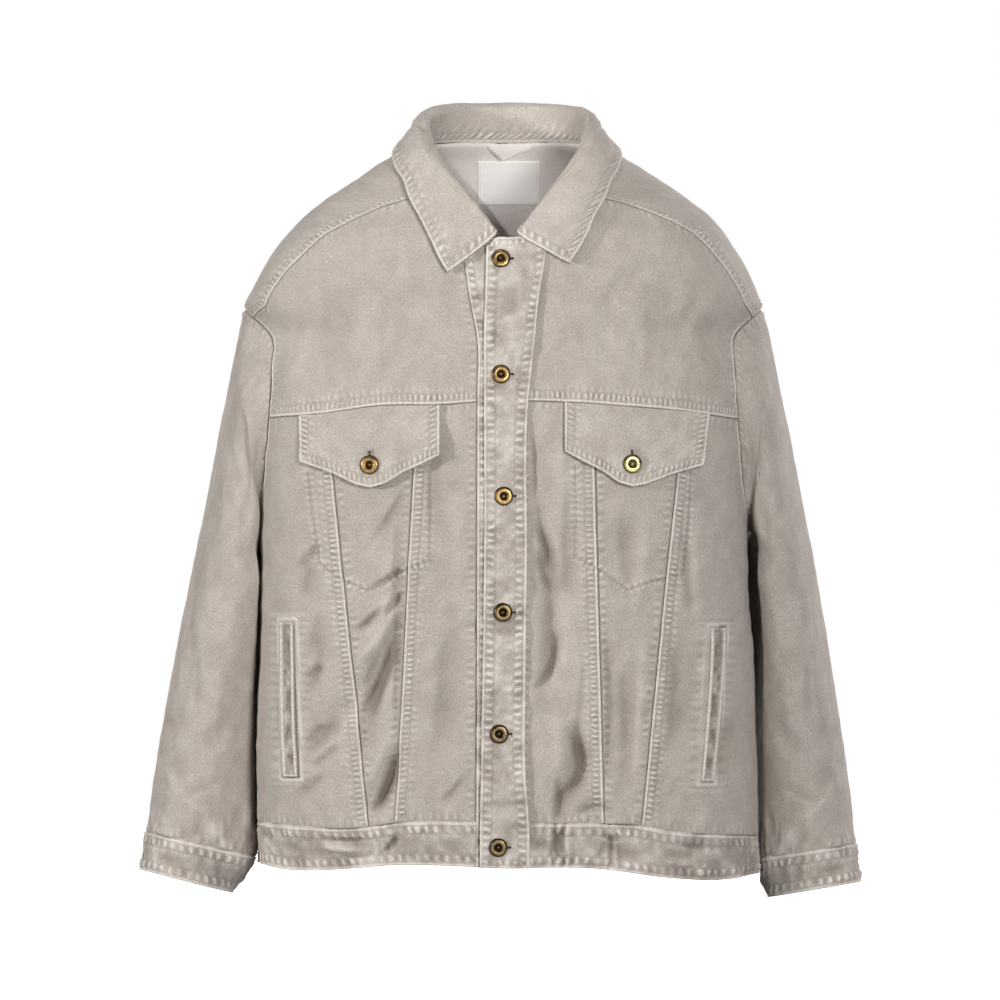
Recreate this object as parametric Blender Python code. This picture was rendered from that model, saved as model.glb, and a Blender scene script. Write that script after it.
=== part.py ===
"""A blouson jacket, filled out as if worn, as the pieces of cloth that are cut and sewn.

Metres, +Z up. The front faces -Y and the wearer's left is at +X. The origin is the middle of the
neck base, where the wearer's shoulders hold the jacket up. Each piece of cloth is a wall between two
skins of one smooth surface.
"""

import math

import bmesh
import bpy
import numpy as np

# Driving sizes
CLOTH = 0.0016  # wall of a single panel
BAND = 0.0024  # wall of a doubled piece
SEAM_GAP = 0.0003  # between two pieces at a seam
LIFT = 0.0008  # between a panel and what is sewn on its face
BUTTON_RADIUS = 0.0085
BUTTON_SHANK = 0.0008  # between a button and the cloth under it

# The body is a superellipse at each height.
SECTIONS = (
    # z, half_width, middle_x, middle_y, front_depth, back_depth, front_power, back_power
    (-0.6650, 0.2235, 0.0055, 0.000, 0.106, 0.106, 2.8, 2.5),
    (-0.6350, 0.2245, 0.0055, 0.000, 0.108, 0.108, 2.8, 2.5),
    (-0.6060, 0.2250, 0.0048, 0.000, 0.112, 0.111, 2.8, 2.5),
    (-0.5310, 0.2255, 0.0040, 0.000, 0.117, 0.115, 2.8, 2.5),
    (-0.4500, 0.2228, 0.0038, -0.001, 0.120, 0.117, 2.8, 2.5),
    (-0.3960, 0.2200, 0.0023, -0.001, 0.121, 0.118, 2.8, 2.5),
    (-0.3450, 0.2192, 0.0014, -0.002, 0.121, 0.119, 2.9, 2.5),
    (-0.2900, 0.2178, 0.0015, -0.003, 0.121, 0.120, 3.0, 2.5),
    (-0.2400, 0.2174, 0.0015, -0.003, 0.120, 0.120, 2.8, 2.5),
    (-0.1950, 0.2185, 0.0013, 0.001, 0.119, 0.118, 2.5, 2.3),
    (-0.1650, 0.2225, 0.0012, 0.006, 0.118, 0.115, 2.05, 2.1),
    (-0.1422, 0.2328, 0.0009, 0.010, 0.115, 0.110, 2.2, 2.0),
    (-0.1200, 0.2249, 0.0022, 0.009, 0.111, 0.106, 2.3, 2.1),
    (-0.0990, 0.2133, 0.0027, 0.008, 0.106, 0.102, 2.3, 2.1),
    (-0.0855, 0.2048, 0.0032, 0.007, 0.101, 0.099, 2.3, 2.2),
    (-0.0720, 0.1949, 0.0038, 0.006, 0.096, 0.096, 2.3, 2.2),
    (-0.0585, 0.1823, 0.0042, 0.006, 0.088, 0.091, 2.2, 2.1),
    (-0.0450, 0.1652, 0.0047, 0.005, 0.080, 0.086, 2.2, 2.1),
    (-0.0315, 0.1445, 0.0048, 0.005, 0.072, 0.081, 2.1, 2.1),
    (-0.0180, 0.1242, 0.0047, 0.004, 0.066, 0.075, 2.1, 2.0),
    (-0.0063, 0.1050, 0.0046, 0.003, 0.061, 0.069, 2.0, 2.0),
    (0.0030, 0.0880, 0.0045, 0.001, 0.057, 0.063, 2.0, 2.0),
    (0.0120, 0.0765, 0.0045, 0.000, 0.054, 0.059, 2.0, 2.0),
    (0.0220, 0.0720, 0.0045, 0.000, 0.052, 0.057, 2.0, 2.0),
    (0.0320, 0.0690, 0.0045, 0.000, 0.051, 0.056, 2.0, 2.0),
    (0.0450, 0.0650, 0.0045, 0.000, 0.050, 0.056, 2.0, 2.0),
)

# Seams across the front, seen from the front. The back joins their ends with a straight line.
CHEST = (
    # x, z
    (-0.2100, -0.2410),
    (-0.1638, -0.2376),
    (-0.1098, -0.2304),
    (-0.0558, -0.2295),
    (-0.0162, -0.2268),
    (0.0522, -0.2268),
    (0.1062, -0.2304),
    (0.1602, -0.2349),
    (0.2140, -0.2425),
)
WAIST = (
    # x, z
    (-0.2200, -0.6055),
    (-0.1818, -0.6090),
    (-0.1278, -0.6100),
    (-0.0960, -0.6055),
    (-0.0200, -0.6048),
    (0.0250, -0.6062),
    (0.0900, -0.6062),
    (0.1170, -0.6070),
    (0.1550, -0.6135),
    (0.2300, -0.6174),
)
HEM = (
    # x, z
    (-0.2200, -0.6420),
    (-0.1908, -0.6480),
    (-0.1548, -0.6480),
    (-0.1000, -0.6437),
    (0.0000, -0.6460),
    (0.0882, -0.6470),
    (0.1512, -0.6552),
    (0.2000, -0.6570),
    (0.2300, -0.6520),
)
NECK_X = 0.0040  # middle of the neck opening, which lies a little to the wearer's left
NECK = (
    # x to either side of that, z
    (0.0000, -0.0792),
    (0.0150, -0.0775),
    (0.0300, -0.0700),
    (0.0480, -0.0550),
    (0.0600, -0.0380),
)
NECK_SIDE = (
    # angle from the front in degrees, z
    (48.0, -0.0380),
    (62.0, -0.0200),
    (80.0, -0.0050),
    (100.0, 0.0040),
    (125.0, 0.0072),
    (180.0, 0.0072),
)
SHOULDER = (
    # x to either side, middle_x, z: the seam between the yoke and the front
    (0.0600, 0.0040, -0.0380),
    (0.0891, 0.0054, -0.0440),
    (0.1170, 0.0068, -0.0522),
    (0.1530, 0.0078, -0.0684),
    (0.1706, 0.0072, -0.0797),
    (0.1913, 0.0050, -0.1008),
    (0.2034, 0.0036, -0.1170),
    (0.2120, 0.0031, -0.1305),
    (0.2160, 0.0030, -0.1404),
)
BACK_YOKE_Z = -0.1750
BACK_YOKE_RISE = 0.0077
BACK_HEM_RISE = 0.0060
SIDE_SEAM_Y = 0.0200

# Seams down the front, straight when seen from the front.
PRINCESS = {
    # top_x, low_x
    ("left", "inner"): (0.0819, 0.0918),
    ("left", "outer"): (0.1629, 0.1251),
    ("right", "inner"): (-0.0765, -0.0963),
    ("right", "outer"): (-0.1575, -0.1197),
}
BACK_SEAM_ANGLE = {"top": 148.0, "low": 156.0}

# The front closes left over right.
OVER_PLACKET = (
    # z, free_x, stitched_x
    (-0.0700, -0.0140, 0.0395),
    (-0.1010, -0.0145, 0.0387),
    (-0.1260, -0.0150, 0.0342),
    (-0.1710, -0.0162, 0.0297),
    (-0.2250, -0.0162, 0.0240),
    (-0.3690, -0.0162, 0.0225),
    (-0.4680, -0.0175, 0.0213),
    (-0.5670, -0.0190, 0.0216),
    (-0.6050, -0.0198, 0.0245),
    (-0.6600, -0.0198, 0.0245),
)
UNDER_PLACKET = (
    # z, end_x, stitched_x
    (-0.0700, 0.0160, -0.0385),
    (-0.1116, 0.0160, -0.0324),
    (-0.1350, 0.0160, -0.0288),
    (-0.1710, 0.0160, -0.0222),
    (-0.2232, 0.0160, -0.0222),
    (-0.6600, 0.0160, -0.0234),
)
PLACKET_CORNER = 0.0100  # how far down the over placket's top corner is rounded
LEFT_FRONT_X = 0.0165  # where the left front ends, under the over placket

# The armhole, seen from the side.
ARMHOLE = {
    "top_z": -0.1422, "low_z": -0.3450,
    "front": 0.066, "back": 0.070,
    "top_y": 0.010, "low_y": 0.016,
}
YOKE_FRONT_TURN = math.radians(24)
YOKE_BACK_TURN = math.radians(-42)

# The sleeve: each ring's outer and inner ends seen from the front, and its middle and half depth in y.
SLEEVE = (
    # outer_x, outer_z, inner_x, inner_z, middle_y, half_depth, sway
    (0.2331, -0.1422, 0.2182, -0.3450, 0.013, 0.068, 0.0005),
    (0.2372, -0.1560, 0.2230, -0.3440, 0.015, 0.070, 0.0014),
    (0.2421, -0.1800, 0.2180, -0.3475, 0.020, 0.074, 0.0018),
    (0.2498, -0.2205, 0.2080, -0.3530, 0.026, 0.078, 0.0018),
    (0.2583, -0.2610, 0.2010, -0.3620, 0.030, 0.081, 0.0020),
    (0.2687, -0.3150, 0.2010, -0.3780, 0.032, 0.082, 0.0022),
    (0.2799, -0.3690, 0.2040, -0.4050, 0.032, 0.080, 0.0020),
    (0.2903, -0.4230, 0.2100, -0.4450, 0.029, 0.075, 0.0013),
    (0.2993, -0.4770, 0.2170, -0.4930, 0.025, 0.068, 0.0006),
    (0.3083, -0.5310, 0.2240, -0.5450, 0.021, 0.061, 0.0000),
    (0.3155, -0.5800, 0.2275, -0.5960, 0.017, 0.054, -0.0003),
    (0.3195, -0.6150, 0.2285, -0.6360, 0.013, 0.047, -0.0008),
    (0.3250, -0.6480, 0.2420, -0.6690, 0.010, 0.040, -0.0015),
)
CUFF_SHARE = 11 / 12  # how far down the rings the cuff's seam is
LEFT_DROP = (0.0110, 0.0040)  # how much lower the left sleeve ends, at its outer and inner ends
SLEEVE_CLEAR = 0.0030  # between the sleeve and the body's side

# The collar, from its front end round to the centre back: where it is sewn on, folds over and ends.
COLLAR = (
    # neck_angle, fold_angle, fold_z, edge_angle, edge_z, roll, bulge
    (5.8, 5.8, -0.0747, 27.1, -0.1076, 0.0027, 0.000),
    (11.0, 10.5, -0.0655, 32.4, -0.0925, 0.0030, 0.000),
    (19.5, 19.3, -0.0487, 37.7, -0.0756, 0.0036, 0.001),
    (29.2, 30.0, -0.0325, 44.4, -0.0594, 0.0042, 0.002),
    (39.0, 39.7, -0.0198, 51.9, -0.0437, 0.0044, 0.003),
    (51.0, 50.2, -0.0060, 62.1, -0.0247, 0.0046, 0.004),
    (66.0, 66.0, 0.0120, 76.0, -0.0090, 0.0048, 0.005),
    (83.0, 83.4, 0.0290, 92.0, -0.0010, 0.0048, 0.005),
    (105.0, 105.0, 0.0370, 112.0, -0.0040, 0.0048, 0.004),
    (130.0, 130.0, 0.0415, 133.0, -0.0110, 0.0046, 0.002),
    (155.0, 155.0, 0.0430, 156.0, -0.0170, 0.0045, 0.001),
    (180.0, 180.0, 0.0440, 180.0, -0.0185, 0.0045, 0.000),
)
COLLAR_WALL = 0.0020
NECK_CLEAR = 0.0018  # between the collar and the neck seam's edge
COLLAR_SHIFT = 0.6  # degrees that its front ends are turned towards the wearer's left
COLLAR_TIP = (1.8, 0.0040)  # degrees and height by which each tip differs from their mean
COLLAR_CLEAR = 0.0052  # middle of its wall above the body, at its edge

# What lies on the panels, seen from the front.
FLAPS = {
    # inner_x, inner_z, tip_x, tip_z, outer_x, outer_z, outer_top_x
    "left": (0.0560, -0.2715, 0.1165, -0.3033, 0.1760, -0.2840, 0.1850),
    "right": (-0.0555, -0.2750, -0.1165, -0.3042, -0.1780, -0.2808, -0.1808),
}
FLAP_LOW_LIFT = 0.0032
WELT_LIFT = 0.0005
WELTS = {
    # inner_top_x, outer_top_x, top_z, inner_low_x, outer_low_x, low_z
    "left": (0.1872, 0.2000, -0.4300, 0.1785, 0.1895, -0.5680),
    "right": (-0.1870, -0.1985, -0.4250, -0.1830, -0.1955, -0.5640),
}
BUTTONS = (
    # name, x, z
    ("button_front_1", -0.0009, -0.0990),
    ("button_front_2", -0.0009, -0.2025),
    ("button_front_3", 0.0016, -0.3114),
    ("button_front_4", 0.0009, -0.4158),
    ("button_front_5", -0.0025, -0.5247),
    ("button_front_6", -0.0034, -0.6264),
    ("button_flap_left", 0.1157, -0.2826),
    ("button_flap_right", -0.1175, -0.2835),
)
BUTTON_PROFILE = (
    # share of the radius, height
    (0.30, 0.0000),
    (0.94, 0.0000),
    (1.00, 0.0006),
    (0.93, 0.0020),
    (0.70, 0.0027),
    (0.40, 0.0022),
    (0.26, 0.0010),
)
LABEL = {"left_x": -0.0225, "right_x": 0.0342, "top_z": -0.0072, "low_z": -0.0468, "wall": 0.0010}
LOOP = {
    "left_x": -0.0126, "low_x": 0.0010, "right_x": 0.0261,
    "top_z": 0.0062, "sag": 0.0090, "stand": 0.0040,
    "width": 0.0050, "wall": 0.0014,
}

# The largest folds: a ridge or, below zero, a trough along a line, seen from the front or from the back.
FOLDS = (
    # facing, x, z, end_x, end_z, half_width, height
    ("front", 0.0520, -0.400, 0.0480, -0.470, 0.0130, -0.0040),
    ("front", 0.0500, -0.520, 0.0560, -0.575, 0.0150, 0.0045),
    ("front", -0.0950, -0.395, -0.1300, -0.500, 0.0120, -0.0045),
    ("front", -0.0800, -0.370, -0.1080, -0.450, 0.0130, 0.0030),
    ("front", -0.1000, -0.555, -0.1150, -0.590, 0.0110, -0.0035),
    ("front", -0.1470, -0.510, -0.1700, -0.545, 0.0110, -0.0030),
    ("front", -0.1180, -0.130, -0.1120, -0.200, 0.0150, -0.0030),
    ("front", 0.0900, -0.150, 0.0850, -0.195, 0.0150, -0.0025),
    ("back", 0.1200, -0.250, 0.0900, -0.400, 0.0180, -0.0045),
    ("back", -0.1150, -0.240, -0.0800, -0.430, 0.0180, -0.0050),
    ("back", 0.0300, -0.300, 0.0450, -0.550, 0.0200, -0.0040),
    ("back", -0.0350, -0.380, -0.0600, -0.570, 0.0180, 0.0045),
    ("back", 0.1500, -0.420, 0.1250, -0.570, 0.0180, 0.0045),
)
SLEEVE_FOLDS = (
    # turn in degrees, share down, end turn, end share, half width in m, height
    (70, 0.22, 85, 0.40, 0.014, -0.0040),
    (120, 0.40, 70, 0.56, 0.015, -0.0035),
    (255, 0.42, 300, 0.58, 0.016, -0.0050),
    (240, 0.60, 290, 0.70, 0.015, -0.0045),
    (20, 0.55, 60, 0.68, 0.014, -0.0025),
    (110, 0.72, 60, 0.80, 0.012, -0.0030),
)

TAUPE = (0.53, 0.475, 0.415)
IVORY = (0.78, 0.76, 0.72)
BRASS = (0.42, 0.29, 0.13)


def smooth(x, xs, ys):
    """Value at x of the smooth curve through the points xs, rising, and ys."""
    xs, ys = np.asarray(xs, float), np.asarray(ys, float)
    slope = np.gradient(ys, xs)
    x = np.clip(x, xs[0], xs[-1])
    i = np.clip(np.searchsorted(xs, x, side="right") - 1, 0, len(xs) - 2)
    step = xs[i + 1] - xs[i]
    t = (x - xs[i]) / step
    start = (1 + 2 * t) * (1 - t) ** 2 * ys[i] + t * (1 - t) ** 2 * step * slope[i]
    end = t * t * (3 - 2 * t) * ys[i + 1] + t * t * (t - 1) * step * slope[i + 1]
    return start + end


def at_share(rows, share):
    """Each column of a table at a share, 0 to 1, of the way down its rows."""
    steps = np.linspace(0, 1, len(rows))
    return [smooth(share, steps, column) for column in np.array(rows).T]


def ease(x, low, high):
    """0 below low, 1 above high, smooth between."""
    t = np.clip((x - low) / (high - low), 0, 1)
    return t * t * (3 - 2 * t)


def unit(vector):
    return vector / np.linalg.norm(vector, axis=-1, keepdims=True)


# ------------------------------------------------------------------ the body's surface
def section(z):
    """Half width, middle x and y, front and back depth, front and back power at height z."""
    columns = np.array(SECTIONS).T
    return [smooth(z, columns[0], column) for column in columns[1:]]


def bare_body(angle, z):
    """The body's surface with no folds. The angle is 0 at the front and 90 degrees at the wearer's left."""
    half_width, middle_x, middle_y, front, back, front_power, back_power = section(z)
    facing = np.cos(angle)
    depth = np.where(facing > 0, front, back)
    power = np.where(facing > 0, front_power, back_power)
    far = (np.abs(np.sin(angle) / half_width) ** power + np.abs(facing / depth) ** power) ** (-1 / power)
    return np.stack([middle_x + far * np.sin(angle), middle_y - far * facing, z + 0 * far], axis=-1)


def normal_of(surface, a, b, step=1e-4):
    """Unit normal of a surface of two numbers, by differences."""
    across = surface(a + step, b) - surface(a - step, b)
    up = surface(a, b + step) - surface(a, b - step)
    return unit(np.cross(across, up))


def near_line(x, z, ends, half_width):
    """1 on the line between two points, falling to 0 about two half widths away."""
    x0, z0, x1, z1 = ends
    run, rise = x1 - x0, z1 - z0
    share = np.clip(((x - x0) * run + (z - z0) * rise) / (run**2 + rise**2), 0, 1)
    away = (x - x0 - share * run) ** 2 + (z - z0 - share * rise) ** 2
    return np.exp(-away / half_width**2)


def fold_height(angle, z, x):
    """How far out the folds move the cloth. They end at the placket."""
    total = 0 * (angle + z)
    for facing, x0, z0, x1, z1, half_width, height in FOLDS:
        side = np.cos(angle) > 0 if facing == "front" else np.cos(angle) <= 0
        total = total + np.where(side, height * near_line(x, z, (x0, z0, x1, z1), half_width), 0)
    return total * ease(np.abs(x - 0.002) + 0.1 * (np.cos(angle) <= 0), 0.024, 0.036)


def body(angle, z, out=0.0):
    """The folded cloth of the body, moved out along its normal."""
    angle, z = np.broadcast_arrays(np.asarray(angle, float), np.asarray(z, float))
    point = bare_body(angle, z)
    height = fold_height(angle, z, point[..., 0]) + out
    return point + normal_of(bare_body, angle, z) * height[..., None]


# ------------------------------------------------------------------ seams, as points of (angle, z)
def angle_at_x(x, z):
    """Angle of the front's point with that x."""
    half_width, middle_x, _, front, _, power, _ = section(z)
    share = np.clip(np.abs(x - middle_x) / half_width, 0, 1)
    return np.arctan2(x - middle_x, front * (1 - share**power) ** (1 / power))


def angle_at_y(y, z, sign):
    """Angle of the side's point with that y. The sign is 1 on the wearer's left and -1 on the right."""
    half_width, _, middle_y, front, back, front_power, back_power = section(z)
    depth = np.where(y < middle_y, front, back)
    power = np.where(y < middle_y, front_power, back_power)
    share = np.clip(np.abs(y - middle_y) / depth, 0, 1)
    return sign * np.arctan2(half_width * (1 - share**power) ** (1 / power), middle_y - y)


def front_points(x, z):
    """(angle, z) of points on the front given by x and z."""
    x, z = np.broadcast_arrays(np.asarray(x, float), np.asarray(z, float))
    return np.stack([angle_at_x(x, z), z], axis=-1)


def table_z(x, table):
    xs, zs = np.array(table).T
    return smooth(x, xs, zs)


def level_points(table, start, end, count=33):
    """(angle, z) along a seam across the jacket between two angles."""
    angle = np.linspace(start, end, count)
    middle_z = np.mean(np.array(table)[:, 1])
    x = bare_body(angle, 0 * angle + middle_z)[:, 0]
    across_back = np.interp(x, [table[0][0], table[-1][0]], [table[0][1], table[-1][1]])
    if table is HEM:
        across_back = across_back + BACK_HEM_RISE * ease(-np.cos(angle), 0, 0.5)
    return np.stack([angle, np.where(np.cos(angle) > 0, table_z(x, table), across_back)], axis=-1)


def armhole_points(start, end, sign, grow=SEAM_GAP * 1.5, count=25):
    """(angle, z) round the armhole between two turns. Turn is 0 at its top and rises round the front."""
    turn = np.linspace(start, end, count)
    half_height = (ARMHOLE["top_z"] - ARMHOLE["low_z"]) / 2
    z = (ARMHOLE["top_z"] + ARMHOLE["low_z"]) / 2 + (half_height + grow) * np.cos(turn)
    reach = np.where(np.sin(turn) > 0, ARMHOLE["front"], ARMHOLE["back"]) + grow
    lean = (ARMHOLE["low_y"] - ARMHOLE["top_y"]) * (1 - np.cos(turn)) / 2
    squared = np.sin(turn) * (1 + 0.16 * np.cos(turn) ** 2)
    return np.stack([angle_at_y(ARMHOLE["top_y"] + lean - reach * squared, z, sign), z], axis=-1)


def turn_at(z):
    """Turn round the front of the armhole where it is at height z."""
    half_height = (ARMHOLE["top_z"] - ARMHOLE["low_z"]) / 2 + SEAM_GAP * 1.5
    return math.acos((z - (ARMHOLE["top_z"] + ARMHOLE["low_z"]) / 2) / half_height)


def placket_x(table, column, z):
    """x of a placket's edge at height z."""
    columns = np.array(table[::-1]).T
    return smooth(z, columns[0], columns[column])


def princess_points(side, seam, count=13):
    """(angle, z) of a seam down the front, from the waist up to the chest seam."""
    top_x, low_x = PRINCESS[side, seam]
    top_z, low_z = table_z(top_x, CHEST), table_z(low_x, WAIST)
    share = np.linspace(0, 1, count)
    return front_points(low_x + (top_x - low_x) * share, low_z + (top_z - low_z) * share)


def front_edge_points(side, low_z, top_z, count=17):
    """(angle, z) up a front's edge under the placket."""
    z = np.linspace(low_z, top_z, count)
    x = LEFT_FRONT_X + 0 * z if side == "left" else placket_x(UNDER_PLACKET, 2, z) - SEAM_GAP
    return front_points(x, z)


def neck_points(start_x, sign, count=13):
    """(angle, z) of the front's neck seam, from the placket to the shoulder seam."""
    x = np.linspace(start_x, NECK[-1][0], count)
    return front_points(NECK_X + sign * x, table_z(x, NECK))


def shoulder_points(sign, count=21):
    """(angle, z) of the seam between the yoke and the front, from the neck to the armhole."""
    half, middle, z = at_share(SHOULDER, np.linspace(0, 1, count))
    last = armhole_points(YOKE_FRONT_TURN, YOKE_FRONT_TURN, sign, count=1)
    return np.concatenate([front_points(middle + sign * half, z), last])


def neck_round_points(sign, count=21):
    """(angle, z) of the neck from the shoulder seam to the centre back."""
    angle, z = np.array(NECK_SIDE).T
    first = front_points(NECK_X + sign * NECK[-1][0], NECK[-1][1])
    at = np.linspace(math.degrees(abs(first[0])), 180, count)
    return np.stack([np.radians(at), smooth(at, angle, z)], axis=-1) * np.array([sign, 1])


def side_seam_points(sign, low_z, count=13):
    z = np.linspace(low_z, ARMHOLE["low_z"] - SEAM_GAP * 1.5, count)
    return np.stack([angle_at_y(SIDE_SEAM_Y + 0 * z, z, sign), z], axis=-1)


def round_the_back(points):
    """The same points with their angles from 0 to 360 degrees."""
    return np.stack([points[:, 0] % (2 * math.pi), points[:, 1]], axis=-1)


# ------------------------------------------------------------------ patches between seams
def length_of(points):
    return np.linalg.norm(np.diff(bare_body(points[:, 0], points[:, 1]), axis=0), axis=1).sum()


def along(*parts):
    """A function of 0 to 1 along lines of points, each given with its share of that range."""
    shares = [share for share, _ in parts]
    ends = np.concatenate([[0], np.cumsum(shares)])
    steps, places = [], []
    for start, share, (_, points) in zip(ends, shares, parts):
        gaps = np.linalg.norm(np.diff(bare_body(points[:, 0], points[:, 1]), axis=0), axis=1) + 1e-9
        steps.append(start + share * np.concatenate([[0], np.cumsum(gaps)]) / gaps.sum())
        places.append(points)
    steps = np.concatenate(steps)
    angle, z = np.concatenate(places).T
    return lambda t: np.stack([np.interp(t, steps, angle), np.interp(t, steps, z)], axis=-1)


def patch(low, top, start, end, gap=SEAM_GAP / 2):
    """(angle, z) at shares across and up inside four edges, a gap in from each."""
    dense = np.linspace(0, 1, 60)
    inset_u = gap / min(length_of(low(dense)), length_of(top(dense)))
    inset_v = gap / min(length_of(start(dense)), length_of(end(dense)))
    low_start, low_end, top_start, top_end = low(0.0), low(1.0), top(0.0), top(1.0)

    def place(across, up):
        u = inset_u + (1 - 2 * inset_u) * across
        v = inset_v + (1 - 2 * inset_v) * up
        a, b = u[..., None], v[..., None]
        low_corners = (1 - a) * low_start + a * low_end
        top_corners = (1 - a) * top_start + a * top_end
        between = (1 - b) * (low(u) - low_corners) + b * (top(u) - top_corners)
        return between + (1 - a) * start(v) + a * end(v)

    return place


def on_body(place, lift=None):
    """A surface for cloth() from a patch. The lift is a function of the shares across and up."""

    def surface(across, up, out):
        where = place(across, up)
        more = 0 if lift is None else lift(across, up)
        return body(where[..., 0], where[..., 1], out + more)

    return surface


def thickened(middle):
    """A surface for cloth() from a function that gives points at shares across and up."""
    return lambda across, up, out: middle(across, up) + normal_of(middle, across, up) * out


# ------------------------------------------------------------------ making objects
def material(name, colour, roughness, metallic=0.0):
    made = bpy.data.materials.new(name)
    made.use_nodes = True
    shader = made.node_tree.nodes["Principled BSDF"]
    shader.inputs["Base Color"].default_value = (*colour, 1.0)
    shader.inputs["Roughness"].default_value = roughness
    shader.inputs["Metallic"].default_value = metallic
    return made


def add_mesh(name, points, faces, look):
    mesh = bpy.data.meshes.new(name)
    mesh.from_pydata(points.tolist(), [], faces)
    shape = bmesh.new()
    shape.from_mesh(mesh)
    bmesh.ops.recalc_face_normals(shape, faces=shape.faces)
    shape.to_mesh(mesh)
    shape.free()
    mesh.materials.append(look)
    mesh.shade_smooth()
    made = bpy.data.objects.new(name, mesh)
    bpy.context.scene.collection.objects.link(made)
    return made


def wall_faces(columns, rows, closed):
    """Corner numbers of the faces between an outer and an inner skin."""
    wide = columns if closed else columns + 1
    count = wide * (rows + 1)

    def corner(i, j, skin):
        return (i % wide) * (rows + 1) + j + skin * count

    def face(*corners):
        return [corner(*each) for each in corners]

    faces = []
    for i in range(columns):
        for skin in (0, 1):
            for j in range(rows):
                faces.append(face((i, j, skin), (i + 1, j, skin), (i + 1, j + 1, skin), (i, j + 1, skin)))
        for j in (0, rows):
            faces.append(face((i, j, 0), (i + 1, j, 0), (i + 1, j, 1), (i, j, 1)))
    for j in range(0 if closed else rows):
        for i in (0, columns):
            faces.append(face((i, j, 0), (i, j + 1, 0), (i, j + 1, 1), (i, j, 1)))
    return faces


def cloth(name, surface, columns, rows, look, closed=False, skins=(0.0, -CLOTH)):
    """A wall of cloth on a surface, which gives points at shares across and up, moved out by a distance."""
    across = np.linspace(0, 1, columns + 1)[: columns if closed else columns + 1]
    grid = np.meshgrid(across, np.linspace(0, 1, rows + 1), indexing="ij")
    points = np.concatenate([surface(*grid, out).reshape(-1, 3) for out in skins])
    return add_mesh(name, points, wall_faces(columns, rows, closed), look)


# ------------------------------------------------------------------ the panels
def front_yoke(side, sign):
    edge_x = LEFT_FRONT_X if side == "left" else placket_x(UNDER_PLACKET, 2, -0.070) - SEAM_GAP
    neck = neck_points(abs(edge_x - NECK_X), sign)
    chest_x = LEFT_FRONT_X if side == "left" else placket_x(UNDER_PLACKET, 2, -0.2268) - SEAM_GAP
    start = front_edge_points(side, table_z(chest_x, CHEST), neck[0, 1])
    turn = turn_at(table_z(sign * 0.21, CHEST))
    armhole = armhole_points(turn, YOKE_FRONT_TURN, sign)
    low = level_points(CHEST, start[0, 0], armhole[0, 0])
    low[-1] = armhole[0]
    top = along((1 / 3, neck), (2 / 3, shoulder_points(sign)))
    return patch(along((1, low)), top, along((1, start)), along((1, armhole)))


def front_panel(side, start, end):
    low = level_points(WAIST, start[0, 0], end[0, 0])
    top = level_points(CHEST, start[-1, 0], end[-1, 0])
    low[0], low[-1], top[0], top[-1] = start[0], end[0], start[-1], end[-1]
    return patch(along((1, low)), along((1, top)), along((1, start)), along((1, end)))


def front_side(side, sign):
    start = princess_points(side, "outer")
    seam = side_seam_points(sign, table_z(sign * 0.23, WAIST))
    turn = turn_at(table_z(sign * 0.21, CHEST))
    armhole = armhole_points(math.pi, turn, sign)
    armhole[0] = seam[-1]
    low = level_points(WAIST, start[0, 0], seam[0, 0])
    top = level_points(CHEST, start[-1, 0], armhole[-1, 0])
    low[0], low[-1], top[0], top[-1] = start[0], seam[0], start[-1], armhole[-1]
    end = along((0.66, seam), (0.34, armhole))
    return patch(along((1, low)), along((1, top)), along((1, start)), end)


def back_yoke_height(angle):
    """z of the seam under the back yoke: level in the middle and a little higher at the armholes."""
    return BACK_YOKE_Z + BACK_YOKE_RISE * ease(np.abs(angle % (2 * math.pi) - math.pi), 0, math.radians(75))


def back_side(sign):
    seam = side_seam_points(sign, table_z(sign * 0.23, WAIST))
    armhole = armhole_points(-math.pi, YOKE_BACK_TURN, sign)
    armhole[0] = seam[-1]
    low = level_points(WAIST, seam[0, 0], sign * math.radians(BACK_SEAM_ANGLE["low"]))
    top_angle = np.linspace(armhole[-1, 0], sign * math.radians(BACK_SEAM_ANGLE["top"]), 13)
    top = np.stack([top_angle, back_yoke_height(top_angle)], axis=-1)
    low[0], top[0] = seam[0], armhole[-1]
    end = np.linspace(low[-1], top[-1], 13)
    return patch(along((1, low)), along((1, top)), along((0.62, seam), (0.38, armhole)), along((1, end)))


def back_centre():
    low_angle, top_angle = math.radians(BACK_SEAM_ANGLE["low"]), math.radians(BACK_SEAM_ANGLE["top"])
    low = level_points(WAIST, low_angle, 2 * math.pi - low_angle)
    across = np.linspace(top_angle, 2 * math.pi - top_angle, 13)
    top = np.stack([across, back_yoke_height(across)], axis=-1)
    start, end = np.linspace(low[0], top[0], 13), np.linspace(low[-1], top[-1], 13)
    return patch(along((1, low)), along((1, top)), along((1, start)), along((1, end)))


def yoke():
    """The yoke runs from one shoulder seam over the shoulders and round the back to the other."""
    left, right = shoulder_points(1), round_the_back(shoulder_points(-1))
    arm_left = armhole_points(YOKE_FRONT_TURN, YOKE_BACK_TURN, 1)
    arm_right = round_the_back(armhole_points(YOKE_BACK_TURN, YOKE_FRONT_TURN, -1))
    angle = np.linspace(arm_left[-1, 0], arm_right[0, 0], 41)
    low = np.stack([angle, back_yoke_height(angle)], axis=-1)
    low[0], low[-1] = arm_left[-1], arm_right[0]
    top = np.concatenate([neck_round_points(1), round_the_back(neck_round_points(-1))[-2::-1]])
    round_low = along((0.2, arm_left), (0.6, low), (0.2, arm_right))
    return patch(round_low, along((1, top)), along((1, left[::-1])), along((1, right[::-1])), SEAM_GAP)


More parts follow.
